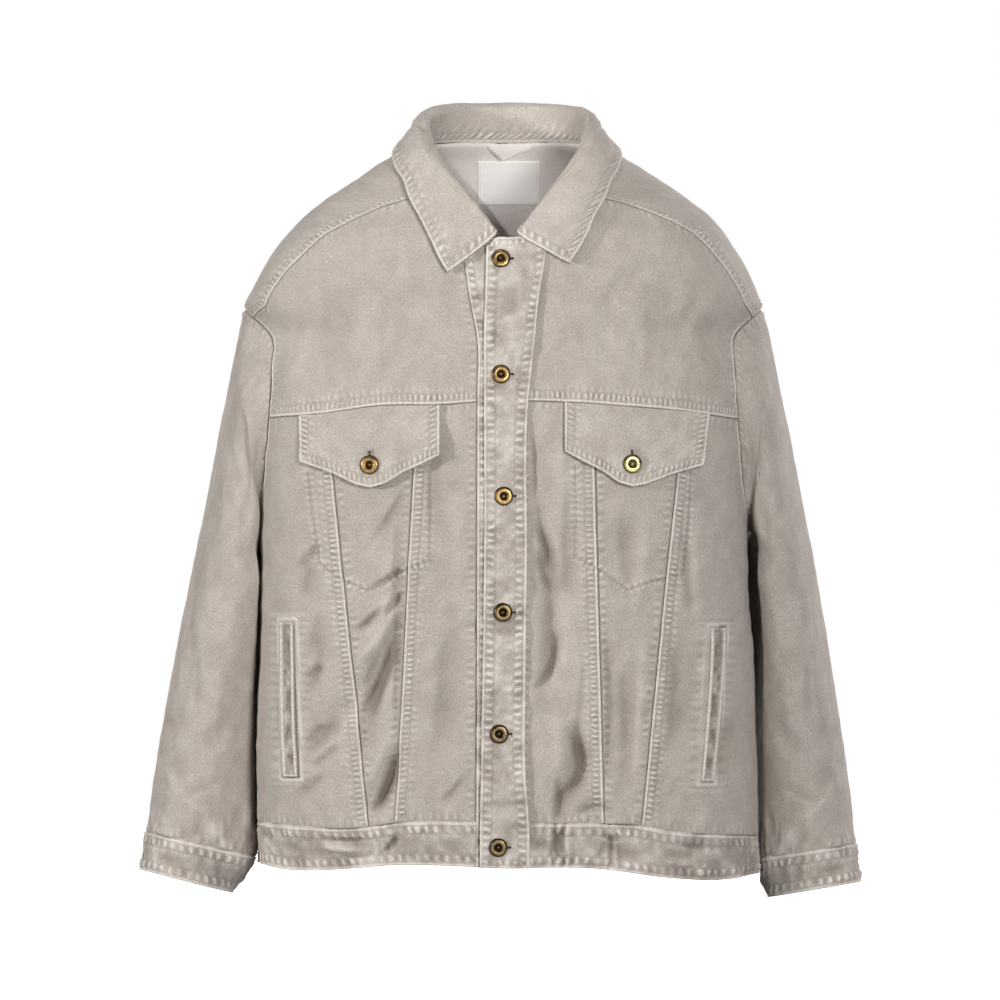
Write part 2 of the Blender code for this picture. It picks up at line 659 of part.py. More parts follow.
def waistband():
    """The band's ends stand beside the plackets, and it goes round the back."""
    z = np.linspace(-0.6460, -0.6050, 9)
    start = front_points(LEFT_FRONT_X, z)
    end = front_points(placket_x(UNDER_PLACKET, 2, z) - SEAM_GAP, z) + np.array([2 * math.pi, 0])
    low = level_points(HEM, start[0, 0], end[0, 0], 121)
    top = level_points(WAIST, start[-1, 0], end[-1, 0], 121)
    for edge, k in ((start, 0), (end, -1)):
        edge[:, 1] += np.linspace(low[k, 1] - edge[0, 1], top[k, 1] - edge[-1, 1], 9)
        low[k], top[k] = edge[0], edge[-1]
    return patch(along((1, low)), along((1, top)), along((1, start)), along((1, end)), SEAM_GAP * 2)


def placket(table):
    """A strip up the front, between the x of two columns of its table."""

    def place(across, up):
        first, last = placket_x(table, 1, -0.4), placket_x(table, 2, -0.4)
        x = first + (last - first) * across
        for _ in range(3):
            low_z, top_z = table_z(x, HEM), table_z(np.abs(x - NECK_X), NECK)
            z = low_z + 0.0003 + (top_z - low_z - 0.0008) * up
            x = placket_x(table, 1, z) * (1 - across) + placket_x(table, 2, z) * across
        if table is OVER_PLACKET:
            z = z - PLACKET_CORNER * (1 - ease(across, 0, 0.28)) ** 2 * ease(up, 0.9, 1)
        return np.stack([angle_at_x(x, z), z], axis=-1)

    return place


# ------------------------------------------------------------------ sleeves, collar and small pieces
def sleeve_middle(sign):
    """Points of a sleeve at shares round it, from its outside to the front, and down it."""

    def middle(around, down):
        turn = 2 * math.pi * around
        outer_x, outer_z, inner_x, inner_z, middle_y, half_depth, sway = at_share(SLEEVE, down)
        if sign > 0:
            outer_z = outer_z - LEFT_DROP[0] * ease(down, 0.3, 1)
            inner_z = inner_z - LEFT_DROP[1] * ease(down, 0.3, 1)
        inward = (1 - np.cos(turn)) / 2
        x = outer_x + (inner_x - outer_x) * inward
        z = outer_z + (inner_z - outer_z) * inward
        y = middle_y - half_depth * np.sin(turn)
        point = np.stack([sign * x + sway, y, z], axis=-1)
        seam = armhole_points(0, 2 * math.pi, sign, grow=-0.0010, count=361)
        seam = np.unwrap(seam, axis=0)
        at = np.linspace(0, 1, 361)
        angle = np.interp(around % 1, at, seam[:, 0])
        height = np.interp(around % 1, at, seam[:, 1])
        fixed = bare_body(angle, height)
        hold = (1 - ease(down, 0.0, 0.22))[..., None] if np.ndim(down) else 1 - ease(down, 0.0, 0.22)
        first = sleeve_ring_zero(turn, sign)
        point = point + (fixed - first) * hold
        return beside_body(point, sign, SLEEVE_CLEAR * ease(down, 0.0, 0.03))

    return middle


def sleeve_ring_zero(turn, sign):
    outer_x, outer_z, inner_x, inner_z, middle_y, half_depth, sway = SLEEVE[0]
    inward = (1 - np.cos(turn)) / 2
    x = sign * (outer_x + (inner_x - outer_x) * inward) + sway
    z = outer_z + (inner_z - outer_z) * inward
    return np.stack([x, middle_y - half_depth * np.sin(turn), z], axis=-1)


def beside_body(point, sign, clear):
    """The point, moved sideways where it would come nearer than that to the body's side."""
    half_width, middle_x, middle_y, front, back, front_power, back_power = section(point[..., 2])
    ahead = point[..., 1] < middle_y
    depth, power = np.where(ahead, front, back), np.where(ahead, front_power, back_power)
    share = np.clip(np.abs(point[..., 1] - middle_y) / depth, 0, 1)
    edge = half_width * (1 - share**power) ** (1 / power) + clear
    reach = sign * (point[..., 0] - middle_x)
    soft = 0.004
    gap = reach - edge
    pushed = edge + np.where(gap > soft, gap, np.where(gap < -soft, 0, (gap + soft) ** 2 / (4 * soft)))
    pushed = np.where(clear > 0, pushed, reach)
    blend = ease(clear, 0, SLEEVE_CLEAR)
    reach = reach + (pushed - reach) * blend
    return np.stack([middle_x + sign * reach, point[..., 1], point[..., 2]], axis=-1)


def sleeve_folded(sign):
    middle = sleeve_middle(sign)

    def folded(around, down):
        point = middle(around, down)
        total = 0 * (around + down)
        for turn, share, end_turn, end_share, half_width, height in SLEEVE_FOLDS:
            ends = (turn / 360 * 0.36, share * 0.5, end_turn / 360 * 0.36, end_share * 0.5)
            for lap in (-0.36, 0, 0.36):
                total = total + height * near_line((around % 1) * 0.36 + lap, down * 0.5, ends, half_width)
        return point + normal_of(middle, around, np.clip(down, 0.001, 0.999)) * (total * sign)[..., None]

    return folded


def sleeve_surface(sign, first, last, lift=0.0):
    """Part of a sleeve between two shares down it, for cloth()."""
    middle = thickened(sleeve_folded(sign))
    return lambda across, up, out: middle(across, first + (last - first) * (1 - up), sign * (out + lift))


def collar_middle(across, up):
    """Points of the collar at shares from its right front end to its left, and from neck to edge."""
    side = np.where(across < 0.5, -1, 1)
    share = 1 - np.abs(2 * across - 1)
    neck_angle, fold_angle, fold_z, edge_angle, edge_z, roll, bulge = at_share(COLLAR, share)
    neck_angle = side * neck_angle + COLLAR_SHIFT * (1 - ease(share, 0, 0.4))
    fold_angle = side * fold_angle + COLLAR_SHIFT * (1 - ease(share, 0, 0.4))
    edge_angle = side * edge_angle + COLLAR_TIP[0] * (1 - ease(share, 0, 0.3))
    edge_z = edge_z + side * COLLAR_TIP[1] * (1 - ease(share, 0, 0.2))
    neck_z = neck_height(np.abs(neck_angle)) + NECK_CLEAR
    tight = np.minimum(roll, (fold_z - neck_z) * 0.6)
    steps = (0.0, 0.16, 0.30, 0.40, 0.50, 0.64, 0.82, 1.0)
    turned = edge_angle - fold_angle
    angles = [neck_angle, (neck_angle + fold_angle) / 2, fold_angle, fold_angle, fold_angle,
              fold_angle + turned * 0.22, fold_angle + turned * 0.62, edge_angle]
    heights = [neck_z, (neck_z + fold_z - tight) / 2, fold_z - tight, fold_z, fold_z - roll,
               fold_z + (edge_z - fold_z) * 0.30, fold_z + (edge_z - fold_z) * 0.66, edge_z]
    outs = [-0.0008, -0.0008, -0.0004, roll, 2 * roll, 2 * roll + bulge * 0.6,
            roll + COLLAR_CLEAR / 2 + bulge, COLLAR_CLEAR]
    angle = np.radians(piece_through(up, steps, angles))
    z = piece_through(up, steps, heights)
    return bare_body(angle, z) + normal_of(bare_body, angle, z) * piece_through(up, steps, outs)[..., None]


def neck_height(degrees):
    """z of the neck seam at an angle from the front."""
    line = np.concatenate([neck_points(0.0, 1), neck_round_points(1)[1:]])
    return np.interp(np.radians(degrees), line[:, 0], line[:, 1])


def piece_through(t, steps, values):
    """A value at t through one value at each step, where each value may be an array like t."""
    values = [value + 0 * t for value in values]
    out = 0 * t + values[0]
    for k in range(len(steps) - 1):
        straight = np.clip((t - steps[k]) / (steps[k + 1] - steps[k]), 0, 1)
        local = ease(t, steps[k], steps[k + 1]) * 0.35 + straight * 0.65
        out = out + (values[k + 1] - values[k]) * local
    return out


def flap_patch(side, sign):
    inner_x, inner_z, tip_x, tip_z, outer_x, outer_z, outer_top_x = FLAPS[side]
    x = np.array([inner_x, inner_x * 0.45 + tip_x * 0.55, tip_x * 0.8 + inner_x * 0.2, tip_x,
                  tip_x * 0.8 + outer_x * 0.2, outer_x * 0.55 + tip_x * 0.45, outer_x])
    z = np.array([inner_z, inner_z * 0.45 + tip_z * 0.55, tip_z + 0.0035, tip_z,
                  tip_z + 0.0025, outer_z * 0.55 + tip_z * 0.45, outer_z])
    top_x = np.linspace(inner_x, outer_top_x, 21)
    low, top = front_points(x, z), front_points(top_x, table_z(top_x, CHEST) - 0.0004)
    return patch(along((1, low)), along((1, top)), along((1, np.linspace(low[0], top[0], 5))),
                 along((1, np.linspace(low[-1], top[-1], 5))))


def flap_lift(across, up):
    return LIFT + (FLAP_LOW_LIFT - LIFT) * ease(1 - up, 0, 1)


def welt_patch(side):
    inner_top, outer_top, top_z, inner_low, outer_low, low_z = WELTS[side]
    low = front_points(np.array([inner_low, outer_low]), low_z)
    top = front_points(np.array([inner_top, outer_top]), top_z)
    return patch(along((1, low)), along((1, top)), along((1, np.stack([low[0], top[0]]))),
                 along((1, np.stack([low[1], top[1]]))))


def label_surface(across, up, out):
    x = LABEL["left_x"] + (LABEL["right_x"] - LABEL["left_x"]) * across
    z = LABEL["low_z"] + (LABEL["top_z"] - LABEL["low_z"]) * up
    half_width, middle_x, _, _, depth, _, power = section(z)
    behind = depth * (1 - (np.abs(x - middle_x) / half_width) ** power) ** (1 / power)
    return body(math.pi - np.arctan2(x - middle_x, behind), z, out - CLOTH - LIFT)


def loop_surface(across, up, out):
    """The hanger loop: a strip on edge that hangs from the back neck seam in a V."""
    x = LOOP["left_x"] + (LOOP["right_x"] - LOOP["left_x"]) * across
    low_at = (LOOP["low_x"] - LOOP["left_x"]) / (LOOP["right_x"] - LOOP["left_x"])
    to_low = np.where(across < low_at, across / low_at, (1 - across) / (1 - low_at))
    dip = np.sin(math.pi / 2 * to_low) ** 0.9
    z = LOOP["top_z"] - LOOP["sag"] * dip - LOOP["width"] * (1 - up)
    half_width, middle_x, middle_y, _, depth, _, power = section(z)
    wall_y = middle_y + depth * (1 - (np.abs(x - middle_x) / half_width) ** power) ** (1 / power)
    y = wall_y - CLOTH - LOOP["wall"] / 2 - SEAM_GAP - LOOP["stand"] * dip
    return np.stack([x, y - out, z], axis=-1)


def button(name, x, z, look, lift):
    """A turned ring button that lies on the front."""
    angle = angle_at_x(x, z)
    centre = body(angle, z, lift)
    facing = unit(normal_of(bare_body, angle, z))
    side = unit(np.cross([0, 0, 1.0], facing))
    up = np.cross(facing, side)
    steps = 16
    turn = np.linspace(0, 2 * math.pi, steps, endpoint=False)
    rings = []
    for share, height in BUTTON_PROFILE:
        spoke = np.outer(np.cos(turn), side) + np.outer(np.sin(turn), up)
        rings.append(centre + facing * height + spoke * share * BUTTON_RADIUS)
    points = np.concatenate(rings)
    faces = []
    for k in range(len(rings) - 1):
        for i in range(steps):
            j = (i + 1) % steps
            faces.append([k * steps + i, k * steps + j, (k + 1) * steps + j, (k + 1) * steps + i])
    faces.append(list(range(steps)))
    faces.append(list(range((len(rings) - 1) * steps, len(rings) * steps)))
    return add_mesh(name, points, faces, look)


def build():
    for old in list(bpy.data.objects):
        bpy.data.objects.remove(old)
    taupe = material("taupe_cotton", TAUPE, 0.9)
    ivory = material("ivory_label", IVORY, 0.85)
    brass = material("antique_brass", BRASS, 0.4, 1.0)

    for side, sign in (("left", 1), ("right", -1)):
        cloth(f"front_yoke_{side}", on_body(front_yoke(side, sign)), 9, 9, taupe)
        edge_x = LEFT_FRONT_X if side == "left" else -0.0237
        edge = front_edge_points(side, table_z(edge_x, WAIST), table_z(edge_x, CHEST))
        inner, outer = princess_points(side, "inner"), princess_points(side, "outer")
        cloth(f"front_centre_{side}", on_body(front_panel(side, edge, inner)), 4, 16, taupe)
        cloth(f"front_middle_{side}", on_body(front_panel(side, inner, outer)), 4, 16, taupe)
        cloth(f"front_side_{side}", on_body(front_side(side, sign)), 7, 16, taupe)
        cloth(f"back_side_{side}", on_body(back_side(sign)), 6, 16, taupe)
        cloth(f"sleeve_{side}", sleeve_surface(sign, 0.0, CUFF_SHARE - 0.0006), 20, 19, taupe, closed=True)
        cuff = sleeve_surface(sign, CUFF_SHARE, 1.0)
        cloth(f"cuff_{side}", cuff, 20, 2, taupe, closed=True, skins=(0.0004, 0.0004 - BAND))
        flap = on_body(flap_patch(side, sign), flap_lift)
        cloth(f"flap_{side}", flap, 8, 4, taupe, skins=(BAND, 0.0))
        cloth(f"welt_{side}", on_body(welt_patch(side)), 2, 8, taupe, skins=(WELT_LIFT + CLOTH, WELT_LIFT))
    cloth("back_centre", on_body(back_centre()), 6, 15, taupe)
    cloth("back_yoke", on_body(yoke()), 40, 6, taupe)
    cloth("waistband", on_body(waistband()), 56, 2, taupe, skins=(0.0006, 0.0006 - BAND))
    cloth("placket_under", on_body(placket(UNDER_PLACKET)), 2, 24, taupe, skins=(0.0, -BAND))
    cloth("placket_over", on_body(placket(OVER_PLACKET)), 3, 24, taupe, skins=(LIFT + BAND, LIFT))
    cloth("collar", thickened(collar_middle), 38, 11, taupe, skins=(COLLAR_WALL / 2, -COLLAR_WALL / 2))
    cloth("hanger_loop", loop_surface, 8, 1, taupe, skins=(LOOP["wall"] / 2, -LOOP["wall"] / 2))
    cloth("label", label_surface, 4, 2, ivory, skins=(0.0, -LABEL["wall"]))
    for name, x, z in BUTTONS:
        lift = LIFT + BAND + BUTTON_SHANK
        if "flap" in name:
            lift += (FLAP_LOW_LIFT - LIFT) * 0.9
        button(name, x, z, brass, lift)


build()
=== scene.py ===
"""The looks of a blouson jacket, filled out as if worn: washed cotton with puckered seams.

Metres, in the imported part's frame: the front faces -Y, the wearer's left is at +X and the origin is
the middle of the neck base. Each piece of cloth is a closed wall with a fine outer skin.
"""

import math

import bmesh
import bpy
import numpy as np
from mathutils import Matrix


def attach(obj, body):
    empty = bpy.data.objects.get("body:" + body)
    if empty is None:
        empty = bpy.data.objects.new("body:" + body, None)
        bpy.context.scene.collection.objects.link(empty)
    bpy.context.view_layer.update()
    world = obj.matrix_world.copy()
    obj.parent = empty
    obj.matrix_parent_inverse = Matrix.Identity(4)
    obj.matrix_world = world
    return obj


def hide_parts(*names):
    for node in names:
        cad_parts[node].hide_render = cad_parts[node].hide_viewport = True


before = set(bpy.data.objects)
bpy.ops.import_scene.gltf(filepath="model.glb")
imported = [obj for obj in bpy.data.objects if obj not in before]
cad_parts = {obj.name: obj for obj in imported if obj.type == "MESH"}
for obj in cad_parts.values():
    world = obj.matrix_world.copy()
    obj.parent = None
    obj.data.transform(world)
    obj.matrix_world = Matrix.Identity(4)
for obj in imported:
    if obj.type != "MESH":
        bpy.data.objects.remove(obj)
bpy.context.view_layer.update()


def in_metres(rows, lengths=None):
    """A table whose first columns, or all of them, are turned from millimetres to metres."""
    table = np.array(rows, float)
    table[:, :lengths] /= 1000
    return table


# Driving sizes
CLOTH = 0.0016  # wall of a single panel
BAND = 0.0024  # wall of a doubled piece
SEAM_GAP = 0.0003  # between two pieces at a seam
LIFT = 0.0008  # between a panel and what is sewn on its face
BUTTON_RADIUS = 0.0085
BUTTON_SHANK = 0.0008  # between a button and the cloth under it

# The body is a superellipse at each height.
SECTIONS = in_metres((
    # z, half_width, middle_x, middle_y, front_depth, back_depth; front_power, back_power
    (-665, 223.5, 5.5, 0, 106, 106, 2.8, 2.5),
    (-635, 224.5, 5.5, 0, 108, 108, 2.8, 2.5),
    (-606, 225, 4.8, 0, 112, 111, 2.8, 2.5),
    (-531, 225.5, 4, 0, 117, 115, 2.8, 2.5),
    (-450, 222.8, 3.8, -1, 120, 117, 2.8, 2.5),
    (-396, 220, 2.3, -1, 121, 118, 2.8, 2.5),
    (-345, 219.2, 1.4, -2, 121, 119, 2.9, 2.5),
    (-290, 217.8, 1.5, -3, 121, 120, 3, 2.5),
    (-240, 217.4, 1.5, -3, 120, 120, 2.8, 2.5),
    (-195, 218.5, 1.3, 1, 119, 118, 2.5, 2.3),
    (-165, 222.5, 1.2, 6, 118, 115, 2.05, 2.1),
    (-142.2, 232.8, 0.9, 10, 115, 110, 2.2, 2),
    (-120, 224.9, 2.2, 9, 111, 106, 2.3, 2.1),
    (-99, 213.3, 2.7, 8, 106, 102, 2.3, 2.1),
    (-85.5, 204.8, 3.2, 7, 101, 99, 2.3, 2.2),
    (-72, 194.9, 3.8, 6, 96, 96, 2.3, 2.2),
    (-58.5, 182.3, 4.2, 6, 88, 91, 2.2, 2.1),
    (-45, 165.2, 4.7, 5, 80, 86, 2.2, 2.1),
    (-31.5, 144.5, 4.8, 5, 72, 81, 2.1, 2.1),
    (-18, 124.2, 4.7, 4, 66, 75, 2.1, 2),
    (-6.3, 105, 4.6, 3, 61, 69, 2, 2),
    (3, 88, 4.5, 1, 57, 63, 2, 2),
    (12, 76.5, 4.5, 0, 54, 59, 2, 2),
    (22, 72, 4.5, 0, 52, 57, 2, 2),
    (32, 69, 4.5, 0, 51, 56, 2, 2),
    (45, 65, 4.5, 0, 50, 56, 2, 2),
), 6)

# Seams across the front, seen from the front. The back joins their ends with a straight line.
CHEST = in_metres((
    # x, z
    (-210, -241), (-163.8, -237.6), (-109.8, -230.4), (-55.8, -229.5), (-16.2, -226.8),
    (52.2, -226.8), (106.2, -230.4), (160.2, -234.9), (214, -242.5),
))
WAIST = in_metres((
    # x, z
    (-220, -605.5), (-181.8, -609), (-127.8, -610), (-96, -605.5), (-20, -604.8), (25, -606.2),
    (90, -606.2), (117, -607), (155, -613.5), (230, -617.4),
))
HEM = in_metres((
    # x, z
    (-220, -642), (-190.8, -648), (-154.8, -648), (-100, -643.7), (0, -646), (88.2, -647),
    (151.2, -655.2), (200, -657), (230, -652),
))
NECK_X = 0.0040  # middle of the neck opening, which lies a little to the wearer's left
NECK = in_metres((
    # x to either side of that, z
    (0, -79.2), (15, -77.5), (30, -70), (48, -55), (60, -38),
))
NECK_SIDE = in_metres((
    # z; angle from the front in degrees
    (-38, 48), (-20, 62), (-5, 80), (4, 100), (7.2, 125), (7.2, 180),
), 1)
SHOULDER = in_metres((
    # x to either side, middle_x, z: the seam between the yoke and the front
    (60, 4, -38), (89.1, 5.4, -44), (117, 6.8, -52.2), (153, 7.8, -68.4), (170.6, 7.2, -79.7),
    (191.3, 5, -100.8), (203.4, 3.6, -117), (212, 3.1, -130.5), (216, 3, -140.4),
))
BACK_YOKE_Z = -0.1750
BACK_YOKE_RISE = 0.0077
BACK_HEM_RISE = 0.0060
SIDE_SEAM_Y = 0.0200

# Seams down the front, straight when seen from the front.
PRINCESS = {
    # top_x, low_x
    ("left", "inner"): (0.0819, 0.0918),
    ("left", "outer"): (0.1629, 0.1251),
    ("right", "inner"): (-0.0765, -0.0963),
    ("right", "outer"): (-0.1575, -0.1197),
}
BACK_SEAM_ANGLE = {"top": 148.0, "low": 156.0}

# The front closes left over right.
OVER_PLACKET = in_metres((
    # z, free_x, stitched_x
    (-70, -14, 39.5), (-101, -14.5, 38.7), (-126, -15, 34.2), (-171, -16.2, 29.7),
    (-225, -16.2, 24), (-369, -16.2, 22.5), (-468, -17.5, 21.3), (-567, -19, 21.6),
    (-605, -19.8, 24.5), (-660, -19.8, 24.5),
))
UNDER_PLACKET = in_metres((
    # z, end_x, stitched_x
    (-70, 16, -38.5), (-111.6, 16, -32.4), (-135, 16, -28.8), (-171, 16, -22.2),
    (-223.2, 16, -22.2), (-660, 16, -23.4),
))
PLACKET_MIDDLE_X = 0.002
FOLD_CLEAR = (0.024, 0.036)  # to either side of that, where the folds begin and are at their full height
PLACKET_CORNER = 0.0100  # how far down the over placket's top corner is rounded
LEFT_FRONT_X, RIGHT_FRONT_X = 0.0165, -0.0237  # where the fronts end, under the plackets

# The armhole, seen from the side.
ARMHOLE = {
    "top_z": -0.1422, "low_z": -0.3450,
    "front": 0.066, "back": 0.070,
    "top_y": 0.010, "low_y": 0.016,
}
YOKE_FRONT_TURN = math.radians(24)
YOKE_BACK_TURN = math.radians(-42)

# The sleeve: each ring's outer and inner ends seen from the front, and its middle and half depth in y.
SLEEVE = in_metres((
    # outer_x, outer_z, inner_x, inner_z, middle_y, half_depth, sway
    (233.1, -142.2, 218.2, -345, 13, 68, 0.5),
    (237.2, -156, 223, -344, 15, 70, 1.4),
    (242.1, -180, 218, -347.5, 20, 74, 1.8),
    (249.8, -220.5, 208, -353, 26, 78, 1.8),
    (258.3, -261, 201, -362, 30, 81, 2),
    (268.7, -315, 201, -378, 32, 82, 2.2),
    (279.9, -369, 204, -405, 32, 80, 2),
    (290.3, -423, 210, -445, 29, 75, 1.3),
    (299.3, -477, 217, -493, 25, 68, 0.6),
    (308.3, -531, 224, -545, 21, 61, 0),
    (315.5, -580, 227.5, -596, 17, 54, -0.3),
    (319.5, -615, 228.5, -636, 13, 47, -0.8),
    (325, -648, 242, -669, 10, 40, -1.5),
))
CUFF_SHARE = 11 / 12  # how far down the rings the cuff's seam is
LEFT_DROP = (0.0110, 0.0040)  # how much lower the left sleeve ends, at its outer and inner ends
SLEEVE_CLEAR = 0.0030  # between the sleeve and the body's side
SOFT_PUSH = 0.004  # half the distance over which that push sets in
SLEEVE_ROUND, SLEEVE_LONG = 0.36, 0.50  # rough size of a sleeve laid flat, in which its folds are placed

# The collar, from its front end round to the centre back: where it is sewn on, folds over and ends.
COLLAR = in_metres((
    # fold_z, edge_z, roll, bulge; neck_angle, fold_angle, edge_angle
    (-74.7, -107.6, 2.7, 0, 5.8, 5.8, 27.1),
    (-65.5, -92.5, 3, 0, 11, 10.5, 32.4),
    (-48.7, -75.6, 3.6, 1, 19.5, 19.3, 37.7),
    (-32.5, -59.4, 4.2, 2, 29.2, 30, 44.4),
    (-19.8, -43.7, 4.4, 3, 39, 39.7, 51.9),
    (-6, -24.7, 4.6, 4, 51, 50.2, 62.1),
    (12, -9, 4.8, 5, 66, 66, 76),
    (29, -1, 4.8, 5, 83, 83.4, 92),
    (37, -4, 4.8, 4, 105, 105, 112),
    (41.5, -11, 4.6, 2, 130, 130, 133),
    (43, -17, 4.5, 1, 155, 155, 156),
    (44, -18.5, 4.5, 0, 180, 180, 180),
), 4)
COLLAR_WALL = 0.0020
NECK_CLEAR = 0.0018  # between the collar and the neck seam's edge
COLLAR_SHIFT = 0.6  # degrees that its front ends are turned towards the wearer's left
COLLAR_TIP = (1.8, 0.0040)  # degrees and height by which each tip differs from their mean
COLLAR_CLEAR = 0.0052  # middle of its wall above the body, at its edge

# What lies on the panels, seen from the front.
FLAPS = {
    # inner_x, inner_z, tip_x, tip_z, outer_x, outer_z, outer_top_x
    "left": (0.0560, -0.2715, 0.1165, -0.3033, 0.1760, -0.2840, 0.1850),
    "right": (-0.0555, -0.2750, -0.1165, -0.3042, -0.1780, -0.2808, -0.1808),
}
FLAP_LOW_LIFT = 0.0032
WELT_LIFT = 0.0005
WELTS = {
    # inner_top_x, outer_top_x, top_z, inner_low_x, outer_low_x, low_z
    "left": (0.1872, 0.2000, -0.4300, 0.1785, 0.1895, -0.5680),
    "right": (-0.1870, -0.1985, -0.4250, -0.1830, -0.1955, -0.5640),
}
BUTTONS = {
    # name: x, z in mm
    "button_front_1": (-0.9, -99),
    "button_front_2": (-0.9, -202.5),
    "button_front_3": (1.6, -311.4),
    "button_front_4": (0.9, -415.8),
    "button_front_5": (-2.5, -524.7),
    "button_front_6": (-3.4, -626.4),
    "button_flap_left": (115.7, -282.6),
    "button_flap_right": (-117.5, -283.5),
}
LABEL = {"left_x": -0.0225, "right_x": 0.0342, "top_z": -0.0072, "low_z": -0.0468, "wall": 0.0010}
LOOP = {
    "left_x": -0.0126, "low_x": 0.0010, "right_x": 0.0261,
    "top_z": 0.0062, "sag": 0.0108, "stand": 0.0088,
    "width": 0.0033, "wall": 0.0014, "rounding": 0.06,
}

# The largest folds: a ridge or, below zero, a trough along a line, seen from the front or from the back.
FOLDS = {
    # x, z, end_x, end_z, half_width, height
    "front": in_metres((
        (52, -400, 48, -470, 13, -4),
        (50, -520, 56, -575, 15, 4.5),
        (-95, -395, -130, -500, 12, -4.5),
        (-80, -370, -108, -450, 13, 3),
        (-100, -555, -115, -590, 11, -3.5),
        (-147, -510, -170, -545, 11, -3),
        (-118, -130, -112, -200, 15, -3),
        (90, -150, 85, -195, 15, -2.5),
    )),
    "back": in_metres((
        (120, -250, 90, -400, 18, -4.5),
        (-115, -240, -80, -430, 18, -5),
        (30, -300, 45, -550, 20, -4),
        (-35, -380, -60, -570, 18, 4.5),
        (150, -420, 125, -570, 18, 4.5),
    )),
}
SLEEVE_FOLDS = (
    # turn in degrees, share down, end turn, end share, half width in m, height
    (70, 0.22, 85, 0.40, 0.014, -0.0040),
    (120, 0.40, 70, 0.56, 0.015, -0.0035),
    (255, 0.42, 300, 0.58, 0.016, -0.0050),
    (240, 0.60, 290, 0.70, 0.015, -0.0045),
    (20, 0.55, 60, 0.68, 0.014, -0.0025),
    (110, 0.72, 60, 0.80, 0.012, -0.0030),
)



def smooth(x, xs, ys):
    """Value at x of the smooth curve through the points xs, rising, and ys."""
    slope = np.gradient(ys, xs)
    x = np.clip(x, xs[0], xs[-1])
    i = np.clip(np.searchsorted(xs, x, side="right") - 1, 0, len(xs) - 2)
    step = xs[i + 1] - xs[i]
    t = (x - xs[i]) / step
    start = (1 + 2 * t) * (1 - t) ** 2 * ys[i] + t * (1 - t) ** 2 * step * slope[i]
    end = t * t * (3 - 2 * t) * ys[i + 1] + t * t * (t - 1) * step * slope[i + 1]
    return start + end


def at_share(rows, share):
    """Each column of a table at a share, 0 to 1, of the way down its rows."""
    steps = np.linspace(0, 1, len(rows))
    return [smooth(share, steps, column) for column in rows.T]


def ease(x, low, high):
    """0 below low, 1 above high, smooth between."""
    t = np.clip((x - low) / (high - low), 0, 1)
    return t * t * (3 - 2 * t)


def unit(vector):
    return vector / np.linalg.norm(vector, axis=-1, keepdims=True)


# ------------------------------------------------------------------ the body's surface
def section(z):
    """Half width, middle x and y, front and back depth, front and back power at height z."""
    heights, *columns = SECTIONS.T
    return [smooth(z, heights, column) for column in columns]


def bare_body(angle, z):
    """The body's surface with no folds. The angle is 0 at the front and 90 degrees at the wearer's left."""
    half_width, middle_x, middle_y, front, back, front_power, back_power = section(z)
    facing = np.cos(angle)
    depth = np.where(facing > 0, front, back)
    power = np.where(facing > 0, front_power, back_power)
    far = (np.abs(np.sin(angle) / half_width) ** power + np.abs(facing / depth) ** power) ** (-1 / power)
    return np.stack([middle_x + far * np.sin(angle), middle_y - far * facing, z + 0 * far], axis=-1)


def bow(away, half, power):
    """Share of a superellipse's depth that is left at a distance from its middle."""
    share = np.clip(np.abs(away) / half, 0, 1)
    return (1 - share**power) ** (1 / power)


def behind(x, z):
    """How far the back of the body is behind its middle there, and that middle's x and y."""
    half_width, middle_x, middle_y, _, depth, _, power = section(z)
    return depth * bow(x - middle_x, half_width, power), middle_x, middle_y


def normal_of(surface, a, b, step=1e-4):
    """Unit normal of a surface of two numbers, by differences."""
    across = surface(a + step, b) - surface(a - step, b)
    up = surface(a, b + step) - surface(a, b - step)
    return unit(np.cross(across, up))


def near_line(x, z, ends, half_width):
    """1 on the line between two points, falling to 0 about two half widths away."""
    x0, z0, x1, z1 = ends
    run, rise = x1 - x0, z1 - z0
    share = np.clip(((x - x0) * run + (z - z0) * rise) / (run**2 + rise**2), 0, 1)
    away = (x - x0 - share * run) ** 2 + (z - z0 - share * rise) ** 2
    return np.exp(-away / half_width**2)


def fold_height(angle, z, x):
    """How far out the folds move the cloth. They end at the placket."""
    total = 0 * (angle + z)
    ahead = np.cos(angle) > 0
    for facing, rows in FOLDS.items():
        for *ends, half_width, height in rows:
            fold = height * near_line(x, z, ends, half_width)
            total = total + np.where(ahead == (facing == "front"), fold, 0)
    return total * np.where(ahead, ease(np.abs(x - PLACKET_MIDDLE_X), *FOLD_CLEAR), 1)


def body(angle, z, out=0.0):
    """The folded cloth of the body, moved out along its normal."""
    angle, z = np.broadcast_arrays(np.asarray(angle, float), np.asarray(z, float))
    point = bare_body(angle, z)
    height = fold_height(angle, z, point[..., 0]) + out
    return point + normal_of(bare_body, angle, z) * height[..., None]


# ------------------------------------------------------------------ seams, as points of (angle, z)
def angle_at_x(x, z):
    """Angle of the front's point with that x."""
    half_width, middle_x, _, front, _, power, _ = section(z)
    return np.arctan2(x - middle_x, front * bow(x - middle_x, half_width, power))


def angle_at_y(y, z, sign):
    """Angle of the side's point with that y. The sign is 1 on the wearer's left and -1 on the right."""
    half_width, _, middle_y, front, back, front_power, back_power = section(z)
    depth = np.where(y < middle_y, front, back)
    power = np.where(y < middle_y, front_power, back_power)
    return sign * np.arctan2(half_width * bow(y - middle_y, depth, power), middle_y - y)


def front_points(x, z):
    """(angle, z) of points on the front given by x and z."""
    x, z = np.broadcast_arrays(np.asarray(x, float), np.asarray(z, float))
    return np.stack([angle_at_x(x, z), z], axis=-1)


def table_z(x, table):
    return smooth(x, *table.T)


